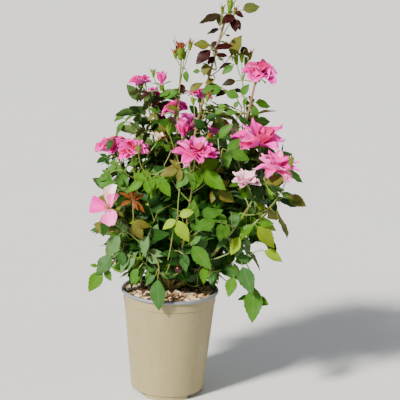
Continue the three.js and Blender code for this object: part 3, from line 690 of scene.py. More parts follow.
def strip_form(points, rings, across):
    """A closed thin form of rings with a face, an underside and its own UV map. Each ring runs
    over the face from left to right and back under it."""
    around = 2 * across - 2
    corners, sizes = strip_faces(rings, across)
    ring, spot = np.divmod(corners, around)
    on_face = spot < across
    u = np.where(on_face, spot, around - spot) / (across - 1)
    v = ring / (rings - 1)
    owner = np.repeat(np.arange(len(sizes)), sizes)
    first = np.concatenate([[0], np.cumsum(sizes)[:-1]])
    lowest = np.minimum.reduceat(spot, first)
    highest = np.maximum.reduceat(spot, first)
    below = (lowest >= across - 1) | ((lowest == 0) & (highest == around - 1))
    uvs = np.stack([u, v + 2.0 * below[owner]], -1)
    return Form(points, corners, sizes, uvs)


def leaflet_form(width, fold, arch, twist, ripple):
    """A pointed, toothed leaflet of unit length along +Y that faces +Z."""
    segments = 13
    rows = []
    for i in range(segments + 1):
        share = i / segments
        half = width / 2 * math.sin(math.pi * min(share ** 0.84, 1)) ** 0.86 * (1 - 0.22 * share ** 2)
        tooth = 1.04 if i % 2 else 0.96
        half = max(half * tooth, 0.008 if i == 0 else 0.002)
        reach = share + (0.016 if i % 2 else 0)
        thick = 0.007 * (1.2 - share)
        droop = -arch * share ** 2
        turn = twist * (share - 0.3)
        row = []
        for side, lift in ((-1, 0), (0, thick), (1, 0), (0, -thick)):
            wave = ripple * math.sin(14 * share + 1.3 * side) * abs(side)
            x = side * half * math.cos(fold)
            z = abs(side) * half * math.sin(fold) + lift + wave
            row.append((x * math.cos(turn) + z * math.sin(turn),
                        reach if side else share,
                        droop - x * math.sin(turn) + z * math.cos(turn)))
        rows.append(row)
    return strip_form(np.array(rows).reshape(-1, 3), segments + 1, 3)


def petal_form(width, cup, curl, ruffle, point, phase):
    """A petal of unit length along +Y whose inner side faces +Z. A point below 0 is a notch."""
    rings, across = 9, 9
    rows = []
    for i in range(rings):
        share = i / (rings - 1)
        half = width / 2 * (0.16 + 0.84 * math.sin(math.pi * 0.56 * share ** 0.8) ** 1.2)
        if share > 0.72:
            half *= math.sqrt(max(0.0, 1 - ((share - 0.72) / 0.34) ** 2))
        half *= 1 - 3.4 * max(point, 0.0) * share ** 4
        over, under = [], []
        for j in range(across):
            side = 2 * j / (across - 1) - 1
            wave = ruffle * math.sin(2.2 * math.pi * side + phase) * share ** 2
            lift = cup * (half * side) ** 2 * 4 - curl * max(0.0, share - 0.5) ** 2 * 4 + wave
            dip = 0.1 * side ** 2 * share - point * math.exp(-(side / 0.33) ** 2) * share ** 5
            spot = (half * side * (1 - 0.25 * cup * abs(side)), share - dip, lift)
            over.append((spot[0], spot[1], spot[2] + 0.006))
            if 0 < j < across - 1:
                under.append((spot[0], spot[1], spot[2] - 0.006))
        rows.append(over + under[::-1])
    return strip_form(np.array(rows).reshape(-1, 3), rings, across)


def turned_form(profile, around):
    """A closed form of rings of (radius, height) whose axis is +Y."""
    turns = np.arange(around) * 2 * math.pi / around
    points = np.array([[(r * math.sin(t), h, r * math.cos(t)) for t in turns] for r, h in profile])
    corners, sizes = ring_faces(len(profile), around)
    ring, spot = np.divmod(corners, around)
    uvs = np.stack([spot / around, ring / (len(profile) - 1)], -1)
    return Form(points.reshape(-1, 3), corners, sizes, uvs)


def chip_form(dice):
    """A shard of bark of unit length along +Y."""
    rows = []
    for share in (0, 0.3, 0.72, 1):
        wide = dice.between(0.16, 0.34) * (0.55 if share in (0, 1) else 1)
        thick = dice.between(0.05, 0.12)
        skew = dice.spread(0.07)
        rows.append([(x * wide + skew + dice.spread(0.05), share + dice.spread(0.07),
                      z * thick + dice.spread(0.03))
                     for x, z in ((-1, 0.8), (0.1, 1), (1, 0.5), (0.9, -1), (-0.8, -1))])
    corners, sizes = ring_faces(4, 5)
    points = np.array(rows).reshape(-1, 3)
    return Form(points, corners, sizes, np.zeros((len(corners), 2)))


def tube_form(path, radii, around):
    """A tube that follows a path, with its frame carried along without twist."""
    path = [Vector(p) for p in path]
    tangents = [(path[min(i + 1, len(path) - 1)] - path[max(i - 1, 0)]).normalized()
                for i in range(len(path))]
    across = tangents[0].orthogonal().normalized()
    turns = np.arange(around) * 2 * math.pi / around
    rows = []
    for point, tangent, radius in zip(path, tangents, radii):
        across = (across - tangent * across.dot(tangent)).normalized()
        other = across.cross(tangent)
        rows.append([point + radius * (across * math.cos(t) - other * math.sin(t)) for t in turns])
    corners, sizes = ring_faces(len(path), around)
    ring, spot = np.divmod(corners, around)
    uvs = np.stack([spot / around, ring / (len(path) - 1)], -1)
    return Form(np.array([[tuple(p) for p in row] for row in rows]).reshape(-1, 3),
                corners, sizes, uvs)


def placed(form, root, along, normal, scale, stretch=(1, 1, 1)):
    """The form's points with +Y along a direction and +Z as near the normal as that leaves."""
    along = Vector(along).normalized()
    side = along.cross(Vector(normal))
    if side.length < 1e-5:
        side = along.orthogonal()
    side.normalize()
    facing = side.cross(along)
    turn = np.array([side * stretch[0], along * stretch[1], facing * stretch[2]])
    return form._replace(points=form.points @ turn * scale + np.array(root))


class Pile:
    """Forms in millimetres that become one joined mesh in metres."""

    def __init__(self):
        self.parts = []

    def add(self, form, finish_number=0):
        self.parts.append((form, finish_number))

    def joined(self, name, finishes, slot, nodes, smooth=55):
        points = np.concatenate([form.points for form, _ in self.parts]) * MM
        counts = np.array([len(form.points) for form, _ in self.parts])
        shifts = np.concatenate([[0], np.cumsum(counts)[:-1]])
        corners = np.concatenate(
            [form.corners + shift for (form, _), shift in zip(self.parts, shifts)])
        sizes = np.concatenate([form.sizes for form, _ in self.parts])
        numbers = np.concatenate(
            [np.full(len(form.sizes), number) for form, number in self.parts])
        uvs = np.concatenate([form.uvs for form, _ in self.parts])
        mesh = bpy.data.meshes.new(name)
        mesh.vertices.add(len(points))
        mesh.vertices.foreach_set("co", points.ravel())
        mesh.loops.add(len(corners))
        mesh.loops.foreach_set("vertex_index", corners)
        mesh.polygons.add(len(sizes))
        mesh.polygons.foreach_set("loop_start", np.concatenate([[0], np.cumsum(sizes)[:-1]]))
        mesh.polygons.foreach_set("material_index", numbers)
        mesh.uv_layers.new(name="UVMap").data.foreach_set("uv", uvs.ravel())
        mesh.update(calc_edges=True)
        for material in finishes:
            mesh.materials.append(material)
        piece = bpy.data.objects.new(name, mesh)
        bpy.context.scene.collection.objects.link(piece)
        on_frame(piece, nodes, smooth)


# Work with the operators

def only(piece):
    """Selects one object and makes it the active one."""
    if bpy.context.mode != "OBJECT":
        bpy.ops.object.mode_set(mode="OBJECT")
    bpy.ops.object.select_all(action="DESELECT")
    piece.select_set(True)
    bpy.context.view_layer.objects.active = piece


def on_frame(piece, nodes, smooth):
    """Smooths the edges below an angle, puts the piece's place into its mesh and hangs it on the
    frame."""
    only(piece)
    bpy.ops.object.shade_smooth_by_angle(angle=math.radians(smooth))
    bpy.ops.object.transform_apply(location=True, rotation=True, scale=True)
    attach(piece, ROOT)
    if nodes:
        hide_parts(*nodes)


def applied(piece, kind, **settings):
    """Adds a modifier, sets it and applies it."""
    only(piece)
    modifier = piece.modifiers.new(kind.lower(), kind)
    for name, value in settings.items():
        setattr(modifier, name, value)
    bpy.ops.object.modifier_apply(modifier=modifier.name)


def lumpy(piece, size, depth, direction="NORMAL"):
    """Moves the surface in and out by lumps of a size in millimetres."""
    lumps = bpy.data.textures.new(piece.name + "_lumps", "CLOUDS")
    lumps.noise_scale = size * MM
    applied(piece, "DISPLACE", texture=lumps, strength=depth, texture_coords="GLOBAL",
            direction=direction)


def joined_to_one(pieces):
    bpy.ops.object.select_all(action="DESELECT")
    for piece in pieces:
        piece.select_set(True)
    bpy.context.view_layer.objects.active = pieces[0]
    bpy.ops.object.join()
    return bpy.context.object


def picked(piece, test):
    """In edit mode, selects only the faces that pass a test."""
    bpy.ops.mesh.select_mode(type="FACE")
    bpy.ops.mesh.select_all(action="DESELECT")
    bpy.ops.object.mode_set(mode="OBJECT")
    for face in piece.data.polygons:
        face.select = test(face)
    bpy.ops.object.mode_set(mode="EDIT")


def turned_piece(name, profile, sides, lean=0.0):
    """A closed turned shell, drawn up ring by ring from the first ring of its profile. It leans
    to +X by a share of its height."""
    bpy.ops.object.select_all(action="DESELECT")
    radius, foot = profile[0]
    bpy.ops.mesh.primitive_circle_add(
        vertices=sides, radius=radius * MM, location=(0, 0, foot * MM), fill_type="NOTHING")
    piece = bpy.context.object
    piece.name = piece.data.name = name
    bpy.ops.object.transform_apply(location=True)
    bpy.ops.object.mode_set(mode="EDIT")
    bpy.ops.mesh.select_mode(type="EDGE")
    bpy.ops.mesh.select_all(action="SELECT")
    bpy.ops.mesh.edge_face_add()
    for (before, low), (after, high) in zip(profile, profile[1:]):
        step = Vector((lean * (high - low), 0, high - low)) * MM
        bpy.ops.mesh.extrude_edges_move(TRANSFORM_OT_translate={"value": step})
        grow, centre = after / before, Vector((lean * (high - foot), 0, high)) * MM
        bpy.ops.transform.resize(value=(grow, grow, 1), center_override=centre)
    bpy.ops.mesh.edge_face_add()
    bpy.ops.mesh.select_all(action="SELECT")
    bpy.ops.mesh.normals_make_consistent(inside=False)
    bpy.ops.object.mode_set(mode="OBJECT")
    return piece


# The growth rule of the part's source

class Curve:
    """A quadratic curve, as each shoot, twig and stalk follows."""

    def __init__(self, start, middle, end):
        self.start, self.middle, self.end = Vector(start), Vector(middle), Vector(end)

    def at(self, t):
        return (self.start * (1 - t) ** 2 + self.middle * 2 * t * (1 - t) + self.end * t * t)

    def tangent(self, t):
        return ((self.middle - self.start) * (1 - t) + (self.end - self.middle) * t).normalized()

    def length(self, steps=24):
        spots = [self.at(i / steps) for i in range(steps + 1)]
        return sum((b - a).length for a, b in zip(spots, spots[1:]))

    def between(self, low, high, steps):
        return [self.at(low + (high - low) * i / steps) for i in range(steps + 1)]


def shoot_curve(shoot):
    stock_top = COMPOST_TOP + COMPOST_MOUND
    start = polar(shoot.base_angle, 6, stock_top + shoot.base_height - 4)
    tip = polar(shoot.angle, shoot.reach, shoot.height)
    out = (polar(shoot.base_angle, 1, 0) + polar(shoot.angle, 1, 0)).normalized()
    middle = out * (shoot.lean * shoot.reach)
    middle.z = start.z + shoot.climb * (tip.z - start.z)
    return Curve(start, middle, tip)


def around_tangent(tangent):
    """Two directions square to a tangent: level, and the way that the sky lies."""
    level = UP.cross(tangent)
    if level.length < 0.01:
        level = Vector((1, 0, 0))
    level.normalize()
    return level, tangent.cross(level).normalized()


def twig_from(curve, share, turn, length):
    start, tangent = curve.at(share), curve.tangent(share)
    level, skyward = around_tangent(tangent)
    outward = level * math.cos(turn) + skyward * math.sin(turn)
    middle = start + outward * (length * TWIG_OUT * 0.58) + tangent * (length * TWIG_ON * 0.55)
    end = (start + outward * (length * TWIG_OUT) + tangent * (length * TWIG_ON)
           + UP * (length * TWIG_UP))
    return Curve(start, middle, end)


LeafSite = namedtuple("LeafSite", "root along normal size leaflets")


def leaf_at(curve, share, index, dice, vigour):
    """Where a leaf grows on a curve and how it hangs."""
    turn = math.radians(index * NODE_TURN + 50 * dice.one())
    lift = math.radians(LEAF_LIFT + 24 * (dice.one() - 0.5))
    root, tangent = curve.at(share), curve.tangent(share)
    small = min(max((root.z - SMALL_FROM) / 80, 0), 1)
    size = vigour * (0.9 + 0.2 * dice.one()) * (1 - 0.24 * small)
    level, skyward = around_tangent(tangent)
    outward = level * math.cos(turn) + skyward * math.sin(turn)
    along = (tangent * math.cos(lift) + outward * math.sin(lift)).normalized()
    joint = root + along * (LEAF_STALK * size)
    light = Vector((joint.x, joint.y, 0)).normalized() * FACES_OUT + UP
    light += level * (dice.one() - 0.5)
    normal = (light - along * light.dot(along)).normalized()
    return LeafSite(root, along, normal, size, 0)


def leaf_reach(site):
    """Where a leaf's end leaflet starts, its middle and its tip, with the mean droop."""
    joint = site.root + site.along * LEAF_STALK * site.size
    tip = joint + (site.along - UP * LEAF_DROOP).normalized() * LEAF_STALK * 1.1 * site.size
    return joint, (joint + tip) / 2, tip


def keeps_clear(site, flowers):
    """Whether a leaf stays in the crown's box and off the pot's wall and the flowers."""
    low, high = CAD_BOX[0], CAD_BOX[1]
    for spot in leaf_reach(site):
        for axis in range(3):
            if not low[axis] / MM - CLEARANCE < spot[axis] < high[axis] / MM + CLEARANCE:
                return False
        off_rim = math.hypot(spot.x, spot.y) - RIM_RADIUS
        if spot.z < COMPOST_TOP + CLEARANCE and off_rim < CLEARANCE:
            return False
        if spot.z < POT_HEIGHT + CLEARANCE and -RIM_ROOM_IN < off_rim < RIM_ROOM_OUT:
            return False
        if spot.z < (LOW_FRONT if spot.y < GAP_BACK else LOW_BACK):
            return False
        sight = GAP_TOP - (spot.y + RIM_RADIUS) * GAP_SLOPE
        if abs(spot.x) < GAP_HALF_WIDTH and spot.y < GAP_BACK and spot.z < sight:
            return False
        for heart, turned, radius in flowers:
            off = spot - heart
            if off.length < radius * HEART_ROOM:
                return False
            ahead = off.dot(turned)
            aside = (off - turned * ahead).length
            if 0 < ahead < FACE_REACH and aside < radius * FACE_ROOM:
                return False
    return True


def stays(site, dice):
    """Whether a leaf is kept: fewer high in the crown, where it is thin in the photograph, and
    fewer where the key light passes on its way to the bark chips."""
    chance = dice.one()
    for spot in leaf_reach(site):
        chip = spot + Vector(KEY_AIM) * (spot.z - COMPOST_TOP) / -KEY_AIM[2]
        lit = math.hypot(chip.x, chip.y) < RIM_RADIUS + CLEARANCE and chip.y < LIT_BACK
        if spot.z < LIGHT_WAY_TOP and lit:
            return chance < LIGHT_WAY_SHARE
    height = leaf_reach(site)[0].z
    return chance < next(share for low, share in STAY_SHARES if height >= low)


class Plant:
    """What has grown so far: limbs, leaves and flower stalks, in millimetres."""

    def __init__(self, settings):
        self.spacing, self.extra_twigs = settings.spacing / MM, settings.twigs
        self.curves = {shoot.name: shoot_curve(shoot) for shoot in SHOOTS}
        self.limbs = []
        self.leaves = []
        self.flowers = [(polar(f.angle, f.reach, f.height), facing(f), bloom_reach(f))
                        for f in FLOWERS]
        for index, shoot in enumerate(SHOOTS):
            self.grow(shoot, index)
        # Each shown stem passes through its middle point, and starts from the nearest limb
        self.find_spots()
        for start, middle, end in SHOWN_STEMS:
            start, middle, end = Vector(start), Vector(middle), Vector(end)
            stem = Curve(start, middle * 2 - (start + end) / 2, end)
            foot = self.nearest(start)
            root = Curve(foot, start - stem.tangent(0) * 0.4 * (start - foot).length, start)
            self.add(root, 8, SHOWN_STEM_FOOT)
            self.add(stem, 12, SHOWN_STEM)
        self.find_spots()
        self.place_leaves()
        self.thin_before_placed()
        for flower in FLOWERS:
            if flower.kind == "buds":
                self.carry_buds(flower)
            else:
                self.carry(flower)
        for foot, spot, *_ in STRAY_BUDS:
            self.add(Curve(self.nearest(foot), foot, spot), 10, STRAY_STALK)

    def add(self, curve, steps, radii, finish_number=GREEN):
        self.limbs.append((curve.between(0, 1, steps), *radii, finish_number))

    def grow(self, shoot, index):
        dice = Dice(index + 1)
        curve = self.curves[shoot.name]
        leafy = 1 - shoot.bare
        twigs = shoot.twigs + (0 if shoot.height > TOP_LEAVES_FROM else self.extra_twigs)
        tip = TIP_RADIUS * (1.6 if limb_colour(shoot, 0) == TAN else 1)
        self.limbs.append((curve.between(max(shoot.bare - 0.03, 0), 1, 18),
                           STEM_RADIUS, tip, limb_colour(shoot, 0)))
        for i in range(twigs):
            share = shoot.bare + leafy * (0.08 + 0.78 * (i + 0.5 * dice.one()) / twigs)
            turn = math.radians(360 * (i * 0.618) + 90 * dice.one() + 40 * index)
            length = shoot.twig_length * (0.7 + 0.55 * dice.one())
            twig = twig_from(curve, share, turn, length)
            shade_seed = dice.one()
            count = int(length / self.spacing) + 1
            sites = [leaf_at(twig, (n + 1) / count, n, dice, 0.92) for n in range(count)]
            kept = [s for s in sites if stays(s, dice) and keeps_clear(s, self.flowers)]
            if not kept:
                continue
            self.add(twig, 8, TWIG, limb_colour(shoot, 1))
            for n, site in enumerate(kept):
                self.leaves.append((site, shade_of(site, shade_seed, n / len(kept)),
                                    shoot.name, 5 if dice.one() > 0.3 else 3))
        count = int(curve.length() * leafy / self.spacing)
        for i in range(count):
            share = shoot.bare + leafy * (i + 0.6) / (count + 0.4)
            site = leaf_at(curve, share, i, dice, 1.08 - 0.42 * i / count)
            if stays(site, dice) and keeps_clear(site, self.flowers):
                self.leaves.append((site, shade_of(site, dice.one(), i / count), shoot.name,
                                    5 if dice.one() > 0.25 else 7))

    def find_spots(self):
        self.spots = np.array([tuple(p) for path, *_ in self.limbs for p in path])

    def nearest(self, point):
        """The nearest point of any limb."""
        off = self.spots - np.array(tuple(point))
        return Vector(self.spots[int((off ** 2).sum(1).argmin())])

    def place_leaves(self):
        self.shown = []
        for number, (root, tip, leaflets, shade) in enumerate(PLACED_LEAVES):
            dice = Dice(500 + number)
            root, tip = Vector(root), Vector(tip)
            along = (tip - root).normalized()
            light = Vector((-0.3 + dice.spread(0.25), -0.85, 0.55 + dice.spread(0.2)))
            if not leaflets:
                light = Vector((0, -0.5, 1))
            normal = (light - along * light.dot(along)).normalized()
            self.shown.append((LeafSite(root, along, normal, (tip - root).length, leaflets), shade))
            start = self.nearest(root)
            middle = (start + root) / 2 + UP * 0.12 * (root - start).length - along * 4
            self.add(Curve(start, middle, root), 8, PLACED_STALK)

    def thin_before_placed(self):
        """Leaves that would hang before a leaf or a flower that shows on its own are left out."""
        eye = Vector(CAMERA_PLACE)
        # Each mark is a spot that shows and the room round the line of sight to it
        marks = [(site.root + site.along * site.size * share, 9 + 0.24 * site.size)
                 for site, _ in self.shown for share in (0.3, 0.7)]
        marks += [(heart, radius) for heart, turned, radius in self.flowers if turned.y < 0.2]
        marks.append((Vector(HIP), 14))

        def hides(spot):
            sight = (eye - spot).normalized()
            for mark, room in marks:
                ahead = (spot - mark).dot(sight)
                if ahead > 4 and (spot - mark - sight * ahead).length < room:
                    return True
            return False

        def spots(site):
            pairs = site.root + site.along * LEAF_STALK * site.size * 0.8
            side = site.along.cross(site.normal) * LEAF_STALK * site.size * 0.5
            return (*leaf_reach(site), pairs + side, pairs - side)

        self.leaves = [leaf for leaf in self.leaves
                       if not any(hides(spot) for spot in spots(leaf[0]))]

    def carry(self, flower):
        """The stalk of a flower."""
        curve = self.curves[flower.shoot]
        base, axis = seat_of(flower)
        foot = base - axis * 7
        stem, tangent = curve.at(flower.start), curve.tangent(flower.start)
        far = (foot - stem).length
        if flower.start == 1:
            middle = (stem + tangent * 0.5 * far + foot - axis * 0.4 * far) / 2
        else:
            middle = (stem + foot) / 2 + tangent * 0.12 * far
        self.add(Curve(stem, middle, foot), 8, FLOWER_STALK)

    def bud_feet(self, flower):
        """Where the stalks of a bunch start: in a fork, or one below another on the shoot."""
        curve, count = self.curves[flower.shoot], len(BUDS[flower.name])
        if flower.start == 1:
            return [curve.at(flower.start - 0.05 * number) for number in range(count)]
        heart, start = polar(flower.angle, flower.reach, flower.height), curve.at(flower.start)
        return [heart - UP * 38 - (heart - start) * 0.05] * count

    def carry_buds(self, flower):
        """The stalks of a bunch of buds, and the stem up to its fork."""
        curve, feet = self.curves[flower.shoot], self.bud_feet(flower)
        if flower.start < 1:
            start, fork = curve.at(flower.start), feet[0]
            stem = Curve(start, (start + fork) / 2 + curve.tangent(flower.start) * 6, fork)
            self.add(stem, 8, BUNCH_STEM)
        for foot, (spot, *_) in zip(feet, BUDS[flower.name]):
            spot = Vector(spot)
            middle = (foot + spot) / 2 - UP * 0.1 * (spot - foot).length
            self.add(Curve(foot, middle, spot), 6, BUD_STALK)


def facing(flower):
    tilt = math.radians(flower.tilt)
    return polar(flower.faces, math.sin(tilt), math.cos(tilt))


def bloom_reach(flower):
    return flower.radius * {"open": 1.0, "half": 1.3}.get(flower.kind, 1.4)


def limb_colour(shoot, level):
    """Which stem finish a shoot (level 0) or its twigs (level 1) have."""
    if shoot.name in ("tall", "right_tall"):
        return RED if level else TAN
    return GREEN


def shade_of(site, seed, age):
    """The colour of a leaf, by its height, its depth in the crown, where a darker green is painted
    shade, and its age.
    """
    spot = site.root + site.along * LEAF_STALK
    depth = math.sqrt(sum(((at - middle) / radius) ** 2
                          for at, middle, radius in zip(spot, CROWN_MIDDLE, CROWN_RADII)))
    if spot.z > TOP_LEAVES_FROM:
        row = ("wine", "olive", "sage", "mature", "backlit_shade", "mature", "olive")
    elif spot.z > 520 and spot.x < -15:
        row = ("olive", "mature", "deep_shade", "olive", "sage", "wine", "mature", "deep_shade")
    elif spot.z > 535:
        row = ("olive", "mature", "mature", "deep_shade", "olive", "fresh", "wine", "mature", "deep_shade")
    # Deep in the crown most leaves take the dark green of painted shade
    elif depth < 0.62:
        row = ("deep_shade", "deep_shade", "mature", "deep_shade", "deep_shade", "blue")
    elif spot.z > 460:
        row = ("olive", "fresh", "mature", "mature", "deep_shade", "mature", "olive", "deep_shade", "blue")
    else:
        row = ("mature", "blue", "fresh", "mature", "blue", "fresh", "mature", "sky_sheen", "mature",
               "lime", "deep_shade", "olive")
    return row[int((seed * 0.999 + 0.13 * age) % 1 * len(row))]


# Which pieces the leaves of each shoot belong to
LEAF_GROUPS = {
    "leaves_top": ("tall", "bud", "back_tall", "right_tall"),
    "leaves_left": ("left", "back_left", "front_left"),
    "leaves_front": ("front", "front_right", "right"),
    "leaves_back": ("back_right", "back"),
    "leaves_low": ("low_front", "low_front_left", "low_back_left", "low_back", "low_back_right",
                   "low_right"),
}

PAIRS = {0: (), 1: (), 3: ((0.58, 0.82),), 5: ((0.66, 0.84), (0.34, 0.66)),
         7: ((0.72, 0.84), (0.48, 0.72), (0.25, 0.55))}
# The stalk's share of a leaf whose foot and tip are given, by its number of leaflets
STALK_SHARES = {0: 0.1, 1: 0.1, 3: 0.27, 5: 0.42}
# The leaf forms that hardly droop
FLAT_FORMS = (1, 3)


def breadth(site, shade, length):
    """How much broader than usual an end leaflet is whose foot and tip are given."""
    if site.root.z > TOP_LEAVES_FROM:
        return 1.25
    if shade == "bronze":
        return 0.66
    return 1.15 if length < 60 else 1


def hang_leaf(blades, stalks, forms, site, shade, leaflets, dice, straight=None):
    """One compound leaf: its stalk, an end leaflet and pairs of leaflets below it."""
    settings = bpy.context.scene.rose_leaf
    length = settings.length / MM * site.size
    stalk = LEAF_STALK * site.size
    droop = LEAF_DROOP * (0.6 + 0.8 * dice.one())
    if straight:
        stalk, droop = straight * STALK_SHARES[leaflets], 0
        length = straight - stalk
    ahead = (site.along - UP * droop).normalized()
    joint = site.root + (site.along * 0.75 + ahead * 0.25).normalized() * stalk
    rachis = Curve(site.root, site.root + site.along * stalk * 0.5, joint)
    number = SHADE_NAMES.index(shade)
    stalk_colour = RED if shade in ("wine", "bronze", "backlit_shade") else GREEN
    thick = 0.5 + 0.35 * min(site.size, 1)
    stalks.add(tube_form(rachis.between(0, 1, 4), [thick * 1.25, thick, thick, thick * 0.9, 0.5], 4),
               stalk_colour)
    normal = (site.normal - ahead * site.normal.dot(ahead)).normalized()
    side = ahead.cross(normal)
    sway = Vector((dice.spread(0.12), dice.spread(0.12), dice.spread(0.08)))
    broad = breadth(site, shade, straight) if straight else 1
    if not leaflets:
        forms = [forms[i] for i in FLAT_FORMS]
    blades.add(placed(dice.pick(forms), joint - ahead * 1.0, ahead + sway * 0.5, normal + sway,
                      length, (broad, 1, 1)), number)
    for share, size in PAIRS[leaflets]:
        foot = rachis.at(share)
        for way in (-1, 1):
            out = (ahead * (0.42 + dice.spread(0.16)) + side * way
                   - UP * 0.12 * (0 if straight else 1) + normal * dice.spread(0.15)).normalized()
            tilt = normal + side * way * (0.18 + dice.spread(0.2)) + ahead * dice.spread(0.15)
            blades.add(placed(dice.pick(forms), foot + out * 0.4, out, tilt,
                              length * size * (0.93 + 0.14 * dice.one())), number)


def leaf_forms():
    width = bpy.context.scene.rose_leaf.width
    return [leaflet_form(width * w, fold, arch, twist, ripple)
            for w, fold, arch, twist, ripple in (
                (1.0, 0.28, 0.16, 0.15, 0.012), (1.06, 0.16, 0.08, -0.25, 0.02),
                (0.9, 0.42, 0.24, 0.2, 0.014), (1.0, 0.2, -0.05, 0.35, 0.018),
                (0.96, 0.34, 0.32, -0.1, 0.012), (1.08, 0.12, 0.14, 0.05, 0.024))]


# Flowers

# Rings of petals from the outside in, for each kind of open flower: number, lean and length
PETAL_RINGS = {
    "full": ((6, 66, 1.0), (6, 54, 0.98), (6, 41, 0.92), (5, 27, 0.8), (4, 12, 0.6)),
    "star": ((5, 76, 1.15), (4, 55, 1.1), (4, 34, 0.95), (3, 14, 0.6)),
    "fan": ((7, 76, 1.06), (7, 56, 1.04), (6, 38, 1.0), (4, 18, 0.85)),
}
STARS = ("right_bloom", "back_bloom", "front_right_pale")
FANS = ("front_bloom", "back_right_bloom", "front_right_bloom")
# For each kind of flower: how far it turns up from the way that it faces, and how far below its
# heart its petals start, as a share of its radius
SEATS = {"open": (1.4, 0.42), "half": (1.4, 0.5), "fading": (0, 0.12), "spent": (0, 0)}


def petal_forms():
    ruffle = bpy.context.scene.rose_bloom.ruffle
    rows = {
        "full": ((0.98, 0.5, 0.22, 1.0, -0.10, 0.0), (0.9, 0.7, 0.10, 1.3, -0.05, 1.9),
                 (1.06, 0.35, 0.30, 0.9, -0.08, 3.3), (0.86, 0.8, 0.02, 1.1, 0.03, 4.4),
                 (1.0, 0.5, 0.36, 1.3, -0.10, 0.9)),
        "star": ((0.8, 0.5, 0.10, 0.7, 0.10, 0.0), (0.86, 0.35, 0.02, 0.8, 0.07, 2.1),
                 (0.92, 0.55, -0.06, 0.9, 0.04, 4.0), (0.76, 0.3, 0.2, 0.6, 0.12, 1.1)),
        "fan": ((0.62, 0.6, 0.06, 0.9, 0.07, 0.4), (0.7, 0.5, -0.05, 0.9, 0.04, 2.4),
                (0.56, 0.8, 0.14, 0.7, 0.09, 3.6), (0.74, 0.4, 0.22, 1.1, -0.05, 5.0)),
        "half": ((0.6, 1.3, 0.02, 0.3, 0.04, 0.4), (0.66, 1.1, 0.08, 0.4, 0.02, 2.4)),
        "round": ((1.0, 0.35, 0.08, 0.5, -0.05, 0.6), (1.04, 0.3, 0.14, 0.6, -0.03, 2.0)),
    }
    return {kind: [petal_form(width, cup, curl, ruffle * wave, point, phase)
                   for width, cup, curl, wave, point, phase in each]
            for kind, each in rows.items()}


def petal_at(petals, forms, heart, axis, turn, open_angle, length, dice, finish_number,
             wide=1.0, offset=0.06):
    """One petal that leans out from a flower's axis by an angle."""
    level, skyward = around_tangent(axis)
    radial = level * math.cos(turn) + skyward * math.sin(turn)
    lean = math.radians(open_angle)
    along = axis * math.cos(lean) + radial * math.sin(lean)
    inner = axis * math.sin(lean) - radial * math.cos(lean)
    inner += along.cross(inner) * dice.spread(0.22)
    petals.add(placed(dice.pick(forms), heart + radial * length * offset, along, inner, length,
                      (wide, 1, 1)), finish_number)


def green_parts(greens, forms, heart, axis, radius, bend, size, dice):
    """The swollen seat of a flower and its five sepals."""
    seat = turned_form(((0.05, -0.52), (0.16, -0.5), (0.24, -0.38), (0.26, -0.24), (0.2, -0.1),
                        (0.24, 0.0), (0.05, 0.04)), 8)
    level, skyward = around_tangent(axis)
    greens.add(placed(seat, heart, axis, level, radius * size), GREEN_CALYX)
    for i in range(5):
        turn = i * 2 * math.pi / 5 + dice.spread(0.2)
        radial = level * math.cos(turn) + skyward * math.sin(turn)
        lean = math.radians(bend + dice.spread(14))
        along = axis * math.cos(lean) + radial * math.sin(lean)
        inner = axis * math.sin(lean) - radial * math.cos(lean)
        greens.add(placed(dice.pick(forms), heart + radial * radius * size * 0.18, along, inner,
                          radius * size * (1.05 + dice.spread(0.15)), (0.36, 1, 1)), GREEN_CALYX)


def seat_of(flower):
    """Where a flower's petals start, and its axis."""
    rise, drop = SEATS[flower.kind]
    axis = (facing(flower) + UP * rise).normalized()
    return polar(flower.angle, flower.reach, flower.height) - axis * flower.radius * drop, axis


def open_bloom(flower, piles, forms, leaf_shapes, dice):
    (base, axis), radius = seat_of(flower), flower.radius
    kind = "star" if flower.name in STARS else "fan" if flower.name in FANS else "full"
    for ring, (count, lean, size) in enumerate(PETAL_RINGS[kind]):
        spin = dice.one() * 6.28
        for i in range(count):
            turn = spin + 2 * math.pi * i / count + dice.spread(0.2)
            # The inner rings take the deeper pink as painted shade
            deep_shade = ring >= 3 or (ring == 2 and dice.one() > 0.4)
            number = {PINK: SHADED_HEART if deep_shade else PINK, PALE: PALE,
                      LIGHT: PINK if deep_shade else LIGHT if i % 3 else BLUSH}[flower.tint]
            if flower.tint == PINK and not deep_shade and dice.one() > (0.78 if ring else 0.62):
                number = LIGHT
            petal_at(piles["petals"], forms[kind], base, axis, turn, lean + dice.spread(12),
                     radius * size * (1 + dice.spread(0.1)), dice, number)
    stamens(piles["stamens"], base, axis, radius * 0.42, 16, dice)
    green_parts(piles["greens"], leaf_shapes, base, axis, 18, 118, 0.9, dice)


def fading_bloom(flower, piles, forms, leaf_shapes, dice):
    """An old flower that has dropped some petals and shows its stamens."""
    (base, axis), radius = seat_of(flower), flower.radius
    for turn, lean, size, wide, number in (
            (84, 72, 1.45, 0.66, FAINT), (58, 62, 1.05, 0.7, BLUSH),
            (177, 82, 1.34, 0.85, PINK), (301, 82, 1.14, 1.1, BLUSH)):
        petal_at(piles["petals"], forms["round"], base, axis, math.radians(turn), lean,
                 radius * size, dice, number, wide=wide)
    stamens(piles["stamens"], base, axis, radius * 0.36, 34, dice)
    green_parts(piles["greens"], leaf_shapes, base, axis, 17, 120, 0.9, dice)


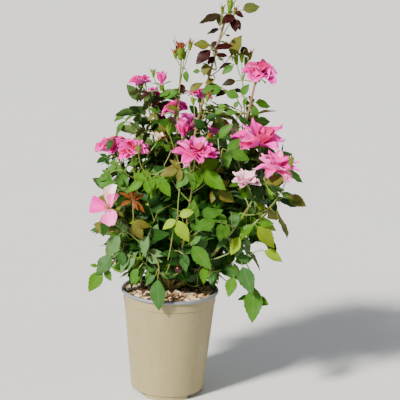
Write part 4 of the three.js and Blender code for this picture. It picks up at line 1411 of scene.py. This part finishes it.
def half_bloom(flower, piles, forms, leaf_shapes, dice):
    """An opening flower: petals that still stand round one another, in one of them less closely."""
    (base, axis), radius = seat_of(flower), flower.radius
    spread = 2 if flower.name == "crown_opening" else 1
    # The innermost petals take the deeper pink as painted shade
    for count, lean, size in ((3, 0, 1.9), (3, 4, 2.05), (4, 9, 2.0)):
        spin = dice.one() * 6.28
        for i in range(count):
            petal_at(piles["petals"], forms["half"], base, axis, spin + 2 * math.pi * i / count,
                     (lean + dice.spread(3)) * spread, radius * size, dice,
                     SHADED_HEART if lean < 3 else PINK if i else LIGHT, offset=0.08)
    green_parts(piles["greens"], leaf_shapes, base, axis, 19, 55, 1.0, dice)


def spent_bloom(flower, piles, forms, leaf_shapes, dice):
    """A withered flower: a few cream and brown petals that hang."""
    (heart, axis), radius = seat_of(flower), flower.radius
    for i in range(9):
        petal_at(piles["petals"], forms["full"], heart, axis, i * 2.4, 60 + dice.spread(50),
                 radius * (1.35 + dice.spread(0.3)), dice, CREAM if i % 3 else WINE, wide=0.7)
    stamens(piles["stamens"], heart, axis, radius * 0.7, 12, dice)
    green_parts(piles["greens"], leaf_shapes, heart, axis, 17, 100, 0.9, dice)


def stamens(pile, base, axis, length, count, dice):
    """Thin threads that each carry a grain-like anther."""
    thread = turned_form(((0.02, 0), (0.018, 0.8), (0.075, 0.86), (0.08, 0.98), (0.02, 1.04)), 3)
    level, skyward = around_tangent(axis)
    for i in range(count):
        turn, lean = i * 2.4, 0.12 + 0.62 * math.sqrt((i + 0.5) / count)
        radial = level * math.cos(turn) + skyward * math.sin(turn)
        along = axis * math.cos(lean) + radial * math.sin(lean)
        pile.add(placed(thread, base, along, level, length * (1 + dice.spread(0.15))))


# Buds in each bunch: place, size and look
BUDS = {
    "tall_buds": (
        ((96, 0, 755), 1.2, CLOSED), ((83, 1, 749), 0.72, REDDENED),
        ((106, 2, 748), 0.72, REDDENED)),
    "bud_buds": (
        ((7, -10, 665), 1.5, OPENING), ((-2, -11, 664), 0.8, REDDENED),
        ((24, -10, 681), 0.9, REDDENED), ((14, -4, 662), 0.8, CLOSED)),
    "right_tall_buds": (
        ((113, 8, 655), 0.95, CLOSED), ((123, 8, 660), 0.95, CLOSED),
        ((138, 12, 664), 0.85, REDDENED), ((131, 18, 652), 0.8, CLOSED)),
}


# Buds that stand alone among the flowers: the foot of the stalk, the bud, its size and its look
STRAY_BUDS = (
    ((-61, -96, 450), (-63, -104, 498), 0.85, CLOSED),
    ((44, -112, 503), (61, -126, 531), 0.85, REDDENED),
    ((13, -100, 474), (-8, -104, 534), 0.8, CLOSED),
    ((47, -50, 524), (60, -24, 587), 0.8, REDDENED),
    ((47, -50, 530), (34, -24, 580), 0.75, CLOSED),
    ((209, -120, 440), (213, -148, 494), 0.9, CLOSED),
    ((165, -128, 459), (176, -144, 444), 0.75, CLOSED),
    ((-37, -24, 599), (-42, -24, 629), 0.7, CLOSED),
)


def stray_buds(piles, forms, leaf_shapes, dice):
    for foot, spot, size, look in STRAY_BUDS:
        foot, spot = Vector(foot), Vector(spot)
        bud_at(piles, leaf_shapes, forms, spot, (spot - foot).normalized(), size, look, dice)


def bunch_of_buds(flower, piles, forms, leaf_shapes, plant, dice):
    for foot, (spot, size, look) in zip(plant.bud_feet(flower), BUDS[flower.name]):
        spot = Vector(spot)
        lean = (spot - foot).normalized()
        axis = (lean + UP * 1.4 + Vector((dice.spread(0.15), dice.spread(0.15), 0))).normalized()
        bud_at(piles, leaf_shapes, forms, spot, UP if look == OPENING else axis, size, look, dice)


def bud_at(piles, leaf_shapes, forms, spot, axis, size, look, dice):
    """A pointed bud in its calyx, with sepals longer than itself."""
    size *= BUD_RADIUS
    level, skyward = around_tangent(axis)
    calyx = turned_form(((0.05, -0.45), (0.2, -0.42), (0.33, -0.2), (0.36, 0.0), (0.3, 0.12),
                         (0.44, 0.4), (0.48, 0.75), (0.4, 1.1), (0.22, 1.45), (0.04, 1.7)), 10)
    piles["greens"].add(placed(calyx, spot, axis, level, size), GREEN_CALYX)
    if look == OPENING:
        for i in range(6):
            petal_at(piles["petals"], forms["half"], spot + axis * size * 0.6, axis, i * 2.4,
                     6 + 4 * i, size * 1.2, dice, WINE, wide=1.2, offset=0.14)
    for i in range(5):
        turn = 2 * math.pi * i / 5 + dice.spread(0.25)
        radial = level * math.cos(turn) + skyward * math.sin(turn)
        lean = (0.26 if look == OPENING else 0.1) * dice.one() - 0.02
        along = (axis * math.cos(lean) + radial * math.sin(lean)).normalized()
        inner = axis * math.sin(lean) - radial * math.cos(lean)
        piles["greens"].add(
            placed(dice.pick(leaf_shapes), spot + radial * size * 0.4 + axis * size * 0.1, along,
                   inner, size * (1.8 + 0.6 * dice.one()), (0.34, 1, 1.2)),
            RED_CALYX if look != CLOSED else GREEN_CALYX)


# The steps that the panel lists

class RoseStep(bpy.types.Operator):
    """What all the steps share"""
    bl_options = {"REGISTER", "UNDO"}


class ROSE_OT_pot(RoseStep):
    """Turn the nursery pot with its rolled rim, feet and drain holes"""
    bl_idname = "rose.pot"
    bl_label = "Pot"

    def execute(self, context):
        settings = context.scene.rose_pot
        foot_out, foot_in = BASE_RADIUS - FOOT_INSET - 1, BASE_RADIUS - FOOT_INSET - 5
        pot = turned_piece("pot_shell", self.profile(foot_out, foot_in), settings.sides)

        def on_foot(face):
            out = math.hypot(face.center.x, face.center.y) / MM
            angle = math.degrees(math.atan2(face.center.y, face.center.x)) + 90
            nearest = abs((angle + 180 / FOOT_COUNT) % (360 / FOOT_COUNT) - 180 / FOOT_COUNT)
            return (foot_in < out < foot_out and abs(face.center.z / MM - FOOT_HEIGHT) < 0.1
                    and nearest < FOOT_ANGLE / 2)

        bpy.ops.object.mode_set(mode="EDIT")
        picked(pot, on_foot)
        bpy.ops.mesh.extrude_region_move(
            TRANSFORM_OT_translate={"value": (0, 0, -FOOT_HEIGHT * MM)})
        bpy.ops.mesh.select_all(action="SELECT")
        bpy.ops.mesh.normals_make_consistent(inside=False)
        bpy.ops.object.mode_set(mode="OBJECT")
        self.drill(pot)
        pot.data.materials.append(pot_plastic("moulded_polypropylene_taupe", settings.plastic))
        # The rolled rim's second finish is grey as a painted reflection of the sky
        pot.data.materials.append(pot_plastic("rolled_polypropylene_painted_sky_reflection", settings.rim_sky_reflection))
        for face in pot.data.polygons:
            out = math.hypot(face.center.x, face.center.y) / MM
            face.material_index = int(
                face.center.z / MM > POT_HEIGHT - RIM_BEAD - 0.6 and out > WALL_TOP_RADIUS - 3)
        on_frame(pot, ["pot"], smooth=32)
        return {"FINISHED"}

    def profile(self, foot_out, foot_in):
        """The rings of the shell: up its outside from the centre pad, over the rim and back down
        inside to the middle of the floor."""
        shoulder, floor = POT_HEIGHT - SHOULDER_DROP, FOOT_HEIGHT + FLOOR_THICKNESS
        corner = [(BASE_RADIUS - 2.4 + 3.2 * math.sin(a), FOOT_HEIGHT + 4.2 - 4.2 * math.cos(a))
                  for a in (0.45, 0.85, 1.2, 1.57)]
        roll = RIM_BEAD / 2
        rim = [(RIM_RADIUS - 0.1 - roll + roll * math.cos(a), POT_HEIGHT - roll + roll * math.sin(a))
               for a in np.linspace(-1.25, 3.3, 12)]
        return [
            (PAD_RADIUS, 0), (PAD_RADIUS + 0.8, 0.5), (PAD_RADIUS + 3, FOOT_HEIGHT), (52, FOOT_HEIGHT),
            (foot_in, FOOT_HEIGHT), (foot_out, FOOT_HEIGHT), *corner,
            *[(wall(h), h) for h in (24, 60, 100, 140, 172, shoulder - 0.8)],
            (wall(shoulder) - 0.4, shoulder - 0.5), (wall(shoulder) - 0.4, shoulder),
            (wall(shoulder) + 1.0, shoulder + 0.3), (wall(shoulder + 6) + 0.8, shoulder + 6),
            (wall(203) + 0.3, 202.4), (wall(204), 203.4), (wall(204) + 0.2, 204.4), *rim,
            (wall(POT_HEIGHT - 9) - WALL, POT_HEIGHT - 9), (wall(120) - WALL, 120),
            (wall(floor) - WALL - 1, floor), (PAD_RADIUS + 1, floor),
            (PAD_RADIUS - 2, FLOOR_THICKNESS)]

    def drill(self, pot):
        """Cuts the drain holes through the raised floor."""
        bpy.ops.object.select_all(action="DESELECT")
        drills = []
        for i in range(DRAIN_HOLES):
            spot = polar(i * 360 / DRAIN_HOLES, DRAIN_RING, FOOT_HEIGHT) * MM
            bpy.ops.mesh.primitive_cylinder_add(
                vertices=24, radius=DRAIN_RADIUS * MM, depth=14 * MM, location=spot)
            drills.append(bpy.context.object)
        cutter = joined_to_one(drills)
        applied(pot, "BOOLEAN", object=cutter, operation="DIFFERENCE", solver="EXACT")
        only(cutter)
        bpy.ops.object.delete()


class ROSE_OT_compost(RoseStep):
    """Fill the pot with compost and strew it with bark chips"""
    bl_idname = "rose.compost"
    bl_label = "Compost and bark"

    def execute(self, context):
        floor = FOOT_HEIGHT + FLOOR_THICKNESS + 0.5
        gap = WALL + 1.2
        profile = [(wall(floor) - gap, floor), (wall(100) - gap, 100),
                   (wall(COMPOST_TOP) - gap, COMPOST_TOP - 1.5)]
        profile += [(out, self.mound(out)) for out in (84, 78, 70, 62, 54, 46, 38, 30, 22, 14, 7)]
        soil = turned_piece("compost_fill", profile, 72)
        lumpy(soil, 9, 3 * MM, "Z")
        # The compost's brown is paler than peat: painted light in the shaded pot
        soil.data.materials.append(speckled(
            "peat_compost_sifted", "#5E4430", "#33241A", 2.381, 0.95, 0.8))
        on_frame(soil, ["compost"], smooth=40)
        self.strew(context.scene.rose_pot.chips)
        return {"FINISHED"}

    def mound(self, out):
        """The height of the compost at a distance from the middle."""
        return COMPOST_TOP + COMPOST_MOUND * max(0.0, 1 - max(0.0, out - 26) / 60)

    def strew(self, count):
        dice = Dice(71)
        shapes = [chip_form(dice) for _ in range(9)]
        chips = Pile()
        for i in range(count):
            out = 14 + 73 * math.sqrt((i + 0.5) / count)
            length = dice.between(8, 20) * (0.75 if i % 3 else 1.1)
            out = min(out, 87.5 - length * 0.45)
            lift = dice.between(1, 11)
            spot = polar(137.508 * i + dice.spread(8), out, self.mound(out) + lift)
            heading = polar(360 * dice.one(), 1, dice.spread(0.42))
            lean = Vector((dice.spread(0.5), dice.spread(0.5), 1))
            shade = dice.one()
            number = 0 if shade < 0.34 else 1 if shade < 0.56 else 2 if shade < 0.82 else 3
            shape = dice.pick(shapes)
            chips.add(placed(shape, spot - heading.normalized() * length / 2, heading, lean, length),
                      number)
        # The tan and cream chips are paler than pine bark: painted sunlight, which the crown keeps off
        # them
        finishes = [bark_finish(name, base, dark, light, 2, 1, 0.4)
                    for name, base, dark, light in (
                        ("pine_bark_chipped_painted_sunlit_tan", "#EACB98", "#BC9462", "#F8E4BC"),
                        ("pine_bark_chipped_painted_sunlit_cream", "#FFF4DA", "#E6C99C", "#FFFAEC"),
                        ("pine_bark_chipped_brown", "#C0976A", "#80583A", "#DDB482"),
                        ("pine_bark_chipped_dark", "#54402F", "#2C1F16", "#7A5F46"))]
        chips.joined("bark_chips", finishes, "compost", [], smooth=25)


class ROSE_OT_wood(RoseStep):
    """Model the rootstock and the bare canes with the relief of their bark"""
    bl_idname = "rose.wood"
    bl_label = "Rootstock and canes"

    def execute(self, context):
        self.rootstock(context.scene.rose_wood.relief)
        self.canes(context.scene.rose_wood.cane)
        return {"FINISHED"}

    def rootstock(self, relief):
        foot = COMPOST_TOP + COMPOST_MOUND + 0.3
        profile = [(STOCK_RADIUS * wide, foot + STOCK_HEIGHT * share) for wide, share in (
            (1.55, 0), (1.42, 0.05), (1.22, 0.14), (1.1, 0.28), (1.02, 0.42), (0.98, 0.55),
            (1.12, 0.66), (1.16, 0.76), (0.98, 0.88), (0.6, 0.97), (0.2, 1.0))]
        stock = turned_piece("rootstock_bark", profile, 20, STOCK_LEAN / STOCK_HEIGHT)
        applied(stock, "SUBSURF", levels=2, render_levels=2)
        lumpy(stock, 14, relief)
        lumpy(stock, 4, relief / 2)
        stock.data.materials.append(bark_finish(
            "rose_bark_old_grown", "#6E5A40", "#3A2C20", "#9A8562", 1.4286, 3.1818, 0.9))
        on_frame(stock, ["rootstock"], smooth=60)

    def canes(self, colour):
        made, bare_shoots = [], [shoot for shoot in SHOOTS if shoot.bare]
        for shoot in bare_shoots:
            curve = shoot_curve(shoot)
            end = curve.at(shoot.bare)
            bend = curve.start + (curve.middle - curve.start) * shoot.bare
            bpy.ops.object.select_all(action="DESELECT")
            bpy.ops.curve.primitive_bezier_curve_add()
            cane = bpy.context.object
            first, last = cane.data.splines[0].bezier_points
            for point, spot, radius in ((first, curve.start, CANE_RADIUS), (last, end, STEM_RADIUS)):
                toward = (spot + (bend - spot) * 2 / 3) * MM
                away = (spot - (bend - spot) * 2 / 3) * MM
                point.handle_left_type = point.handle_right_type = "FREE"
                point.co = spot * MM
                point.handle_right = toward if point == first else away
                point.handle_left = away if point == first else toward
                point.radius = radius
            cane.data.bevel_depth = MM
            cane.data.bevel_resolution = 3
            cane.data.resolution_u = 26
            cane.data.use_fill_caps = True
            bpy.ops.object.convert(target="MESH")
            made.append(bpy.context.object)
        canes = joined_to_one(made)
        canes.name = canes.data.name = "canes_bark"
        applied(canes, "SUBSURF", levels=1, render_levels=1)
        lumpy(canes, 5, 0.7 * MM)
        canes.data.materials.clear()
        # The bark's finish takes its colours as hex values, and a setting holds linear ones
        cane_hex = "#" + "".join("%02X" % round(255 * min(1, c ** (1 / 2.2))) for c in colour)
        canes.data.materials.append(bark_finish(
            "rose_bark_young_grown", cane_hex, "#4E4A28", "#A39A66", 1.25, 8.8889, 0.3))
        on_frame(canes, ["cane_" + shoot.name for shoot in bare_shoots], smooth=60)


class ROSE_OT_foliage(RoseStep):
    """Grow the stems, the twigs, the leaves and the prickles by the rule of the solids"""
    bl_idname = "rose.foliage"
    bl_label = "Stems, leaves and prickles"

    def execute(self, context):
        plant = Plant(context.scene.rose_leaf)
        stalks = Pile()
        self.leaves(plant, stalks)
        finishes = [
            stem_finish("rose_stem_grown_tan", "#8E7C48", "#8E604A", "#B4A474"),
            stem_finish("rose_stem_grown_green", "#66802C", "#7C7634", "#96A25A"),
            stem_finish("rose_stem_grown_red", "#7A3E2C", "#5C2822", "#9A664A")]
        stems = Pile()
        for path, thick, thin, colour in plant.limbs:
            steps = len(path) - 1
            swells = thick > 2
            radii = [(thick + (thin - thick) * i / steps) * (1.12 if i % 4 == 2 and swells else 1)
                     for i in range(steps + 1)]
            stems.add(tube_form(path, radii, 8 if swells else 6), colour)
        stems.joined("stems_and_twigs", finishes, "foliage", [])
        stalks.joined("leaf_stalks", finishes, "foliage", [])
        self.prickles(plant, context.scene.rose_wood.prickle_spacing / MM)
        return {"FINISHED"}

    def leaves(self, plant, stalks):
        finishes = [leaf_finish("rose_leaf_grown_" + shade, *hexes)
                    for shade, hexes in LEAF_SHADES.items()]
        shapes = leaf_forms()
        for number, (name, shoots) in enumerate(LEAF_GROUPS.items()):
            blades, dice = Pile(), Dice(300 + number)
            for site, shade, shoot, leaflets in plant.leaves:
                if shoot in shoots:
                    hang_leaf(blades, stalks, shapes, site, shade, leaflets, dice)
            blades.joined(name, finishes, "foliage", ["foliage_" + shoot for shoot in shoots])
        blades, dice = Pile(), Dice(330)
        for site, shade in plant.shown:
            hang_leaf(blades, stalks, shapes, site, shade, site.leaflets, dice, straight=site.size)
        blades.joined("leaves_shown", finishes, "foliage", [])

    def prickles(self, plant, spacing):
        """Short hooked prickles along canes and stems."""
        thorn = turned_form(((0.34, 0), (0.2, 0.25), (0.1, 0.6), (0.015, 1.0)), 5)
        pile = Pile()
        for index, curve in enumerate(plant.curves.values()):
            dice = Dice(700 + index)
            count = int(curve.length() / spacing)
            for i in range(2, count - 1):
                share = i / count
                radius = CANE_RADIUS + (TIP_RADIUS - CANE_RADIUS) * share
                tangent = curve.tangent(share)
                level, skyward = around_tangent(tangent)
                turn = i * 2.1 + dice.spread(0.6)
                out = level * math.cos(turn) + skyward * math.sin(turn)
                pile.add(placed(thorn, curve.at(share) + out * radius * 0.7, out - tangent * 0.35,
                                tangent, dice.between(3.0, 5.0), (1, 1, 1.7)))
        pile.joined("prickles", [speckled(
            "rose_prickle_grown", "#A8744A", "#7A3A2A", 1.667, 0.5)], "foliage", [])


class ROSE_OT_flowers(RoseStep):
    """Set the flowers, the buds and the hip on the stalks that have grown"""
    bl_idname = "rose.flowers"
    bl_label = "Flowers, buds and hip"

    def execute(self, context):
        plant = Plant(context.scene.rose_leaf)
        forms, leaf_shapes = petal_forms(), leaf_forms()
        piles = {"petals": Pile(), "stamens": Pile(), "greens": Pile()}
        kinds = {"open": open_bloom, "fading": fading_bloom, "half": half_bloom,
                 "spent": spent_bloom}
        for number, flower in enumerate(FLOWERS):
            dice = Dice(900 + number)
            if flower.kind == "buds":
                bunch_of_buds(flower, piles, forms, leaf_shapes, plant, dice)
            else:
                kinds[flower.kind](flower, piles, forms, leaf_shapes, dice)
        stray_buds(piles, forms, leaf_shapes, Dice(980))
        self.hip(plant)
        blooms = [flower.name for flower in FLOWERS if flower.kind != "buds"]
        bunches = [flower.name for flower in FLOWERS if flower.kind == "buds"]
        piles["petals"].joined("petals", self.petal_finishes(context.scene.rose_bloom), "bloom",
                               blooms, smooth=60)
        piles["stamens"].joined("stamens", [speckled(
            "rose_anther_grown_gold", "#D9A32E", "#8F5A1E", 1.111, 0.7)], "bloom", [], smooth=40)
        greens = [
            leaf_finish("rose_calyx_grown_green", "#587E14", "#6E8C30", "#82A040", "#4C6E10"),
            leaf_finish("rose_calyx_grown_red", "#74401E", "#7E3C26", "#8E5E34", "#621E1A")]
        piles["greens"].joined("calyces_and_buds", greens, "bud", bunches)
        return {"FINISHED"}

    def petal_finishes(self, bloom):
        """The finishes in the order of their numbers, PINK to FAINT: colour, edge and foot."""
        rows = (
            ("grown_pink", (*bloom.petal, 1), srgb("#FA1CB8"), srgb("#F6E7D2")),
            # The deep finish, darker and redder, is painted shade in a flower's heart
            ("grown_deep_painted_shade", (*bloom.heart, 1), srgb("#E00880"), srgb("#F0908C")),
            ("grown_pale", srgb("#FFB4D2"), srgb("#FFE0E8"), srgb("#F7E6B8")),
            ("withered_cream", srgb("#EAD7B0"), srgb("#F3E8CC"), srgb("#A86B48")),
            ("grown_light", srgb("#FF30C0"), srgb("#FF7CDC"), srgb("#F6E7D2")),
            ("grown_wine", srgb("#6E3014"), srgb("#84421E"), srgb("#5E2A1A")),
            ("grown_blush", srgb("#FF56B8"), srgb("#FF98D0"), srgb("#FFDCE6")),
            ("grown_faint", srgb("#FFD6D8"), srgb("#FFF0E4"), srgb("#FFE4EA")))
        return [petal_finish("rose_petal_" + name, *colours) for name, *colours in rows]

    def hip(self, plant):
        """A red hip on a short stalk, low in the crown."""
        spot = Vector(HIP)
        start = plant.nearest(spot + UP * 26)
        axis = (spot - start).normalized()
        fruit = turned_form(((0.04, -0.95), (0.3, -0.9), (0.62, -0.68), (0.86, -0.3), (0.92, 0.1),
                             (0.8, 0.5), (0.5, 0.82), (0.3, 0.92), (0.26, 1.05), (0.05, 0.98)), 16)
        pile = Pile()
        pile.add(placed(fruit, spot, axis, UP.cross(axis), 8))
        pile.add(tube_form(Curve(start, (start + spot) / 2 + UP * 4, spot - axis * 7)
                           .between(0, 1, 6), [0.9] * 7, 6))
        skin = clouded("rose_hip_grown_red", srgb("#260403"), srgb("#3C0E06"), 11.11, (0.4, 0.0),
                       (0.7, 1.0), Roughness=0.32, IOR=1.45)
        pile.joined("hip", [skin], "foliage", [])


class ROSE_OT_stage(RoseStep):
    """Lay the pale floor, hang the soft lights and set the camera"""
    bl_idname = "rose.stage"
    bl_label = "Stage"

    def execute(self, context):
        settings = context.scene.rose_stage
        bpy.ops.object.select_all(action="DESELECT")
        bpy.ops.mesh.primitive_circle_add(vertices=96, radius=300, fill_type="NGON")
        floor = bpy.context.object
        floor.name = "stage_floor"
        dimmer = (*(0.96 * c for c in settings.floor), 1)
        floor.data.materials.append(clouded("painted_board_matt", (*settings.floor, 1), dimmer, 769.2,
                                            (0.4, 0.0), (0.7, 0.4), Roughness=0.9))
        self.lights(context.scene, settings)
        self.camera(context.scene)
        return {"FINISHED"}

    def lights(self, scene, settings):
        """A wide key light from the upper left, before the plant, and light from all round."""
        bpy.ops.object.light_add(type="SUN")
        key = bpy.context.object
        key.name = "key_light"
        key.data.energy = settings.key
        key.data.angle = math.radians(9)
        key.data.color = (1.0, 0.965, 0.91)
        key.rotation_euler = Vector(KEY_AIM).to_track_quat("-Z", "Y").to_euler()
        world = bpy.data.worlds.new("studio_air")
        scene.world = world
        world.use_nodes = True
        air = world.node_tree.nodes["Background"]
        air.inputs["Color"].default_value = (0.86, 0.92, 1.0, 1)
        air.inputs["Strength"].default_value = settings.fill

    def camera(self, scene):
        pitch, yaw, roll = (math.radians(a) for a in (CAMERA_PITCH, CAMERA_YAW, CAMERA_ROLL))
        ahead = Vector((math.sin(yaw) * math.cos(pitch), math.cos(yaw) * math.cos(pitch),
                        -math.sin(pitch)))
        level = Vector((math.cos(yaw), -math.sin(yaw), 0))
        upward = level.cross(ahead)
        right = level * math.cos(roll) + upward * math.sin(roll)
        top = upward * math.cos(roll) - level * math.sin(roll)
        bpy.ops.object.camera_add()
        camera = bpy.context.object
        camera.name = "photo_camera"
        turn = Matrix((right, top, -ahead)).transposed().to_4x4()
        camera.matrix_world = Matrix.Translation(Vector(CAMERA_PLACE) * MM) @ turn
        camera.data.sensor_width = SENSOR
        camera.data.lens = CAMERA_LENS
        camera.data.clip_end = 200
        scene.camera = camera


STEPS = (ROSE_OT_stage, ROSE_OT_pot, ROSE_OT_compost, ROSE_OT_wood, ROSE_OT_foliage,
         ROSE_OT_flowers)


class ROSE_PT_panel(bpy.types.Panel):
    bl_label = "Potted shrub rose"
    bl_idname = "ROSE_PT_panel"
    bl_space_type = "VIEW_3D"
    bl_region_type = "UI"
    bl_category = "Rose"

    def draw(self, context):
        for step in STEPS:
            self.layout.operator(step.bl_idname)
        for group in GROUPS:
            settings = getattr(context.scene, group)
            column = self.layout.column(heading=group)
            for name in settings.bl_rna.properties.keys():
                if name not in ("rna_type", "name"):
                    column.prop(settings, name)


GROUPS = {
    "rose_pot": RosePotSettings, "rose_wood": RoseWoodSettings, "rose_leaf": RoseLeafSettings,
    "rose_bloom": RoseBloomSettings, "rose_stage": RoseStageSettings,
}


def register():
    for each in (*GROUPS.values(), *STEPS, ROSE_PT_panel):
        bpy.utils.register_class(each)
    for name, group in GROUPS.items():
        setattr(bpy.types.Scene, name, PointerProperty(type=group))


def unregister():
    for name in GROUPS:
        delattr(bpy.types.Scene, name)
    for each in reversed((*GROUPS.values(), *STEPS, ROSE_PT_panel)):
        bpy.utils.unregister_class(each)


def main():
    register()
    for step in STEPS:
        group, name = step.bl_idname.split(".")
        getattr(getattr(bpy.ops, group), name)()


if __name__ == "__main__":
    main()
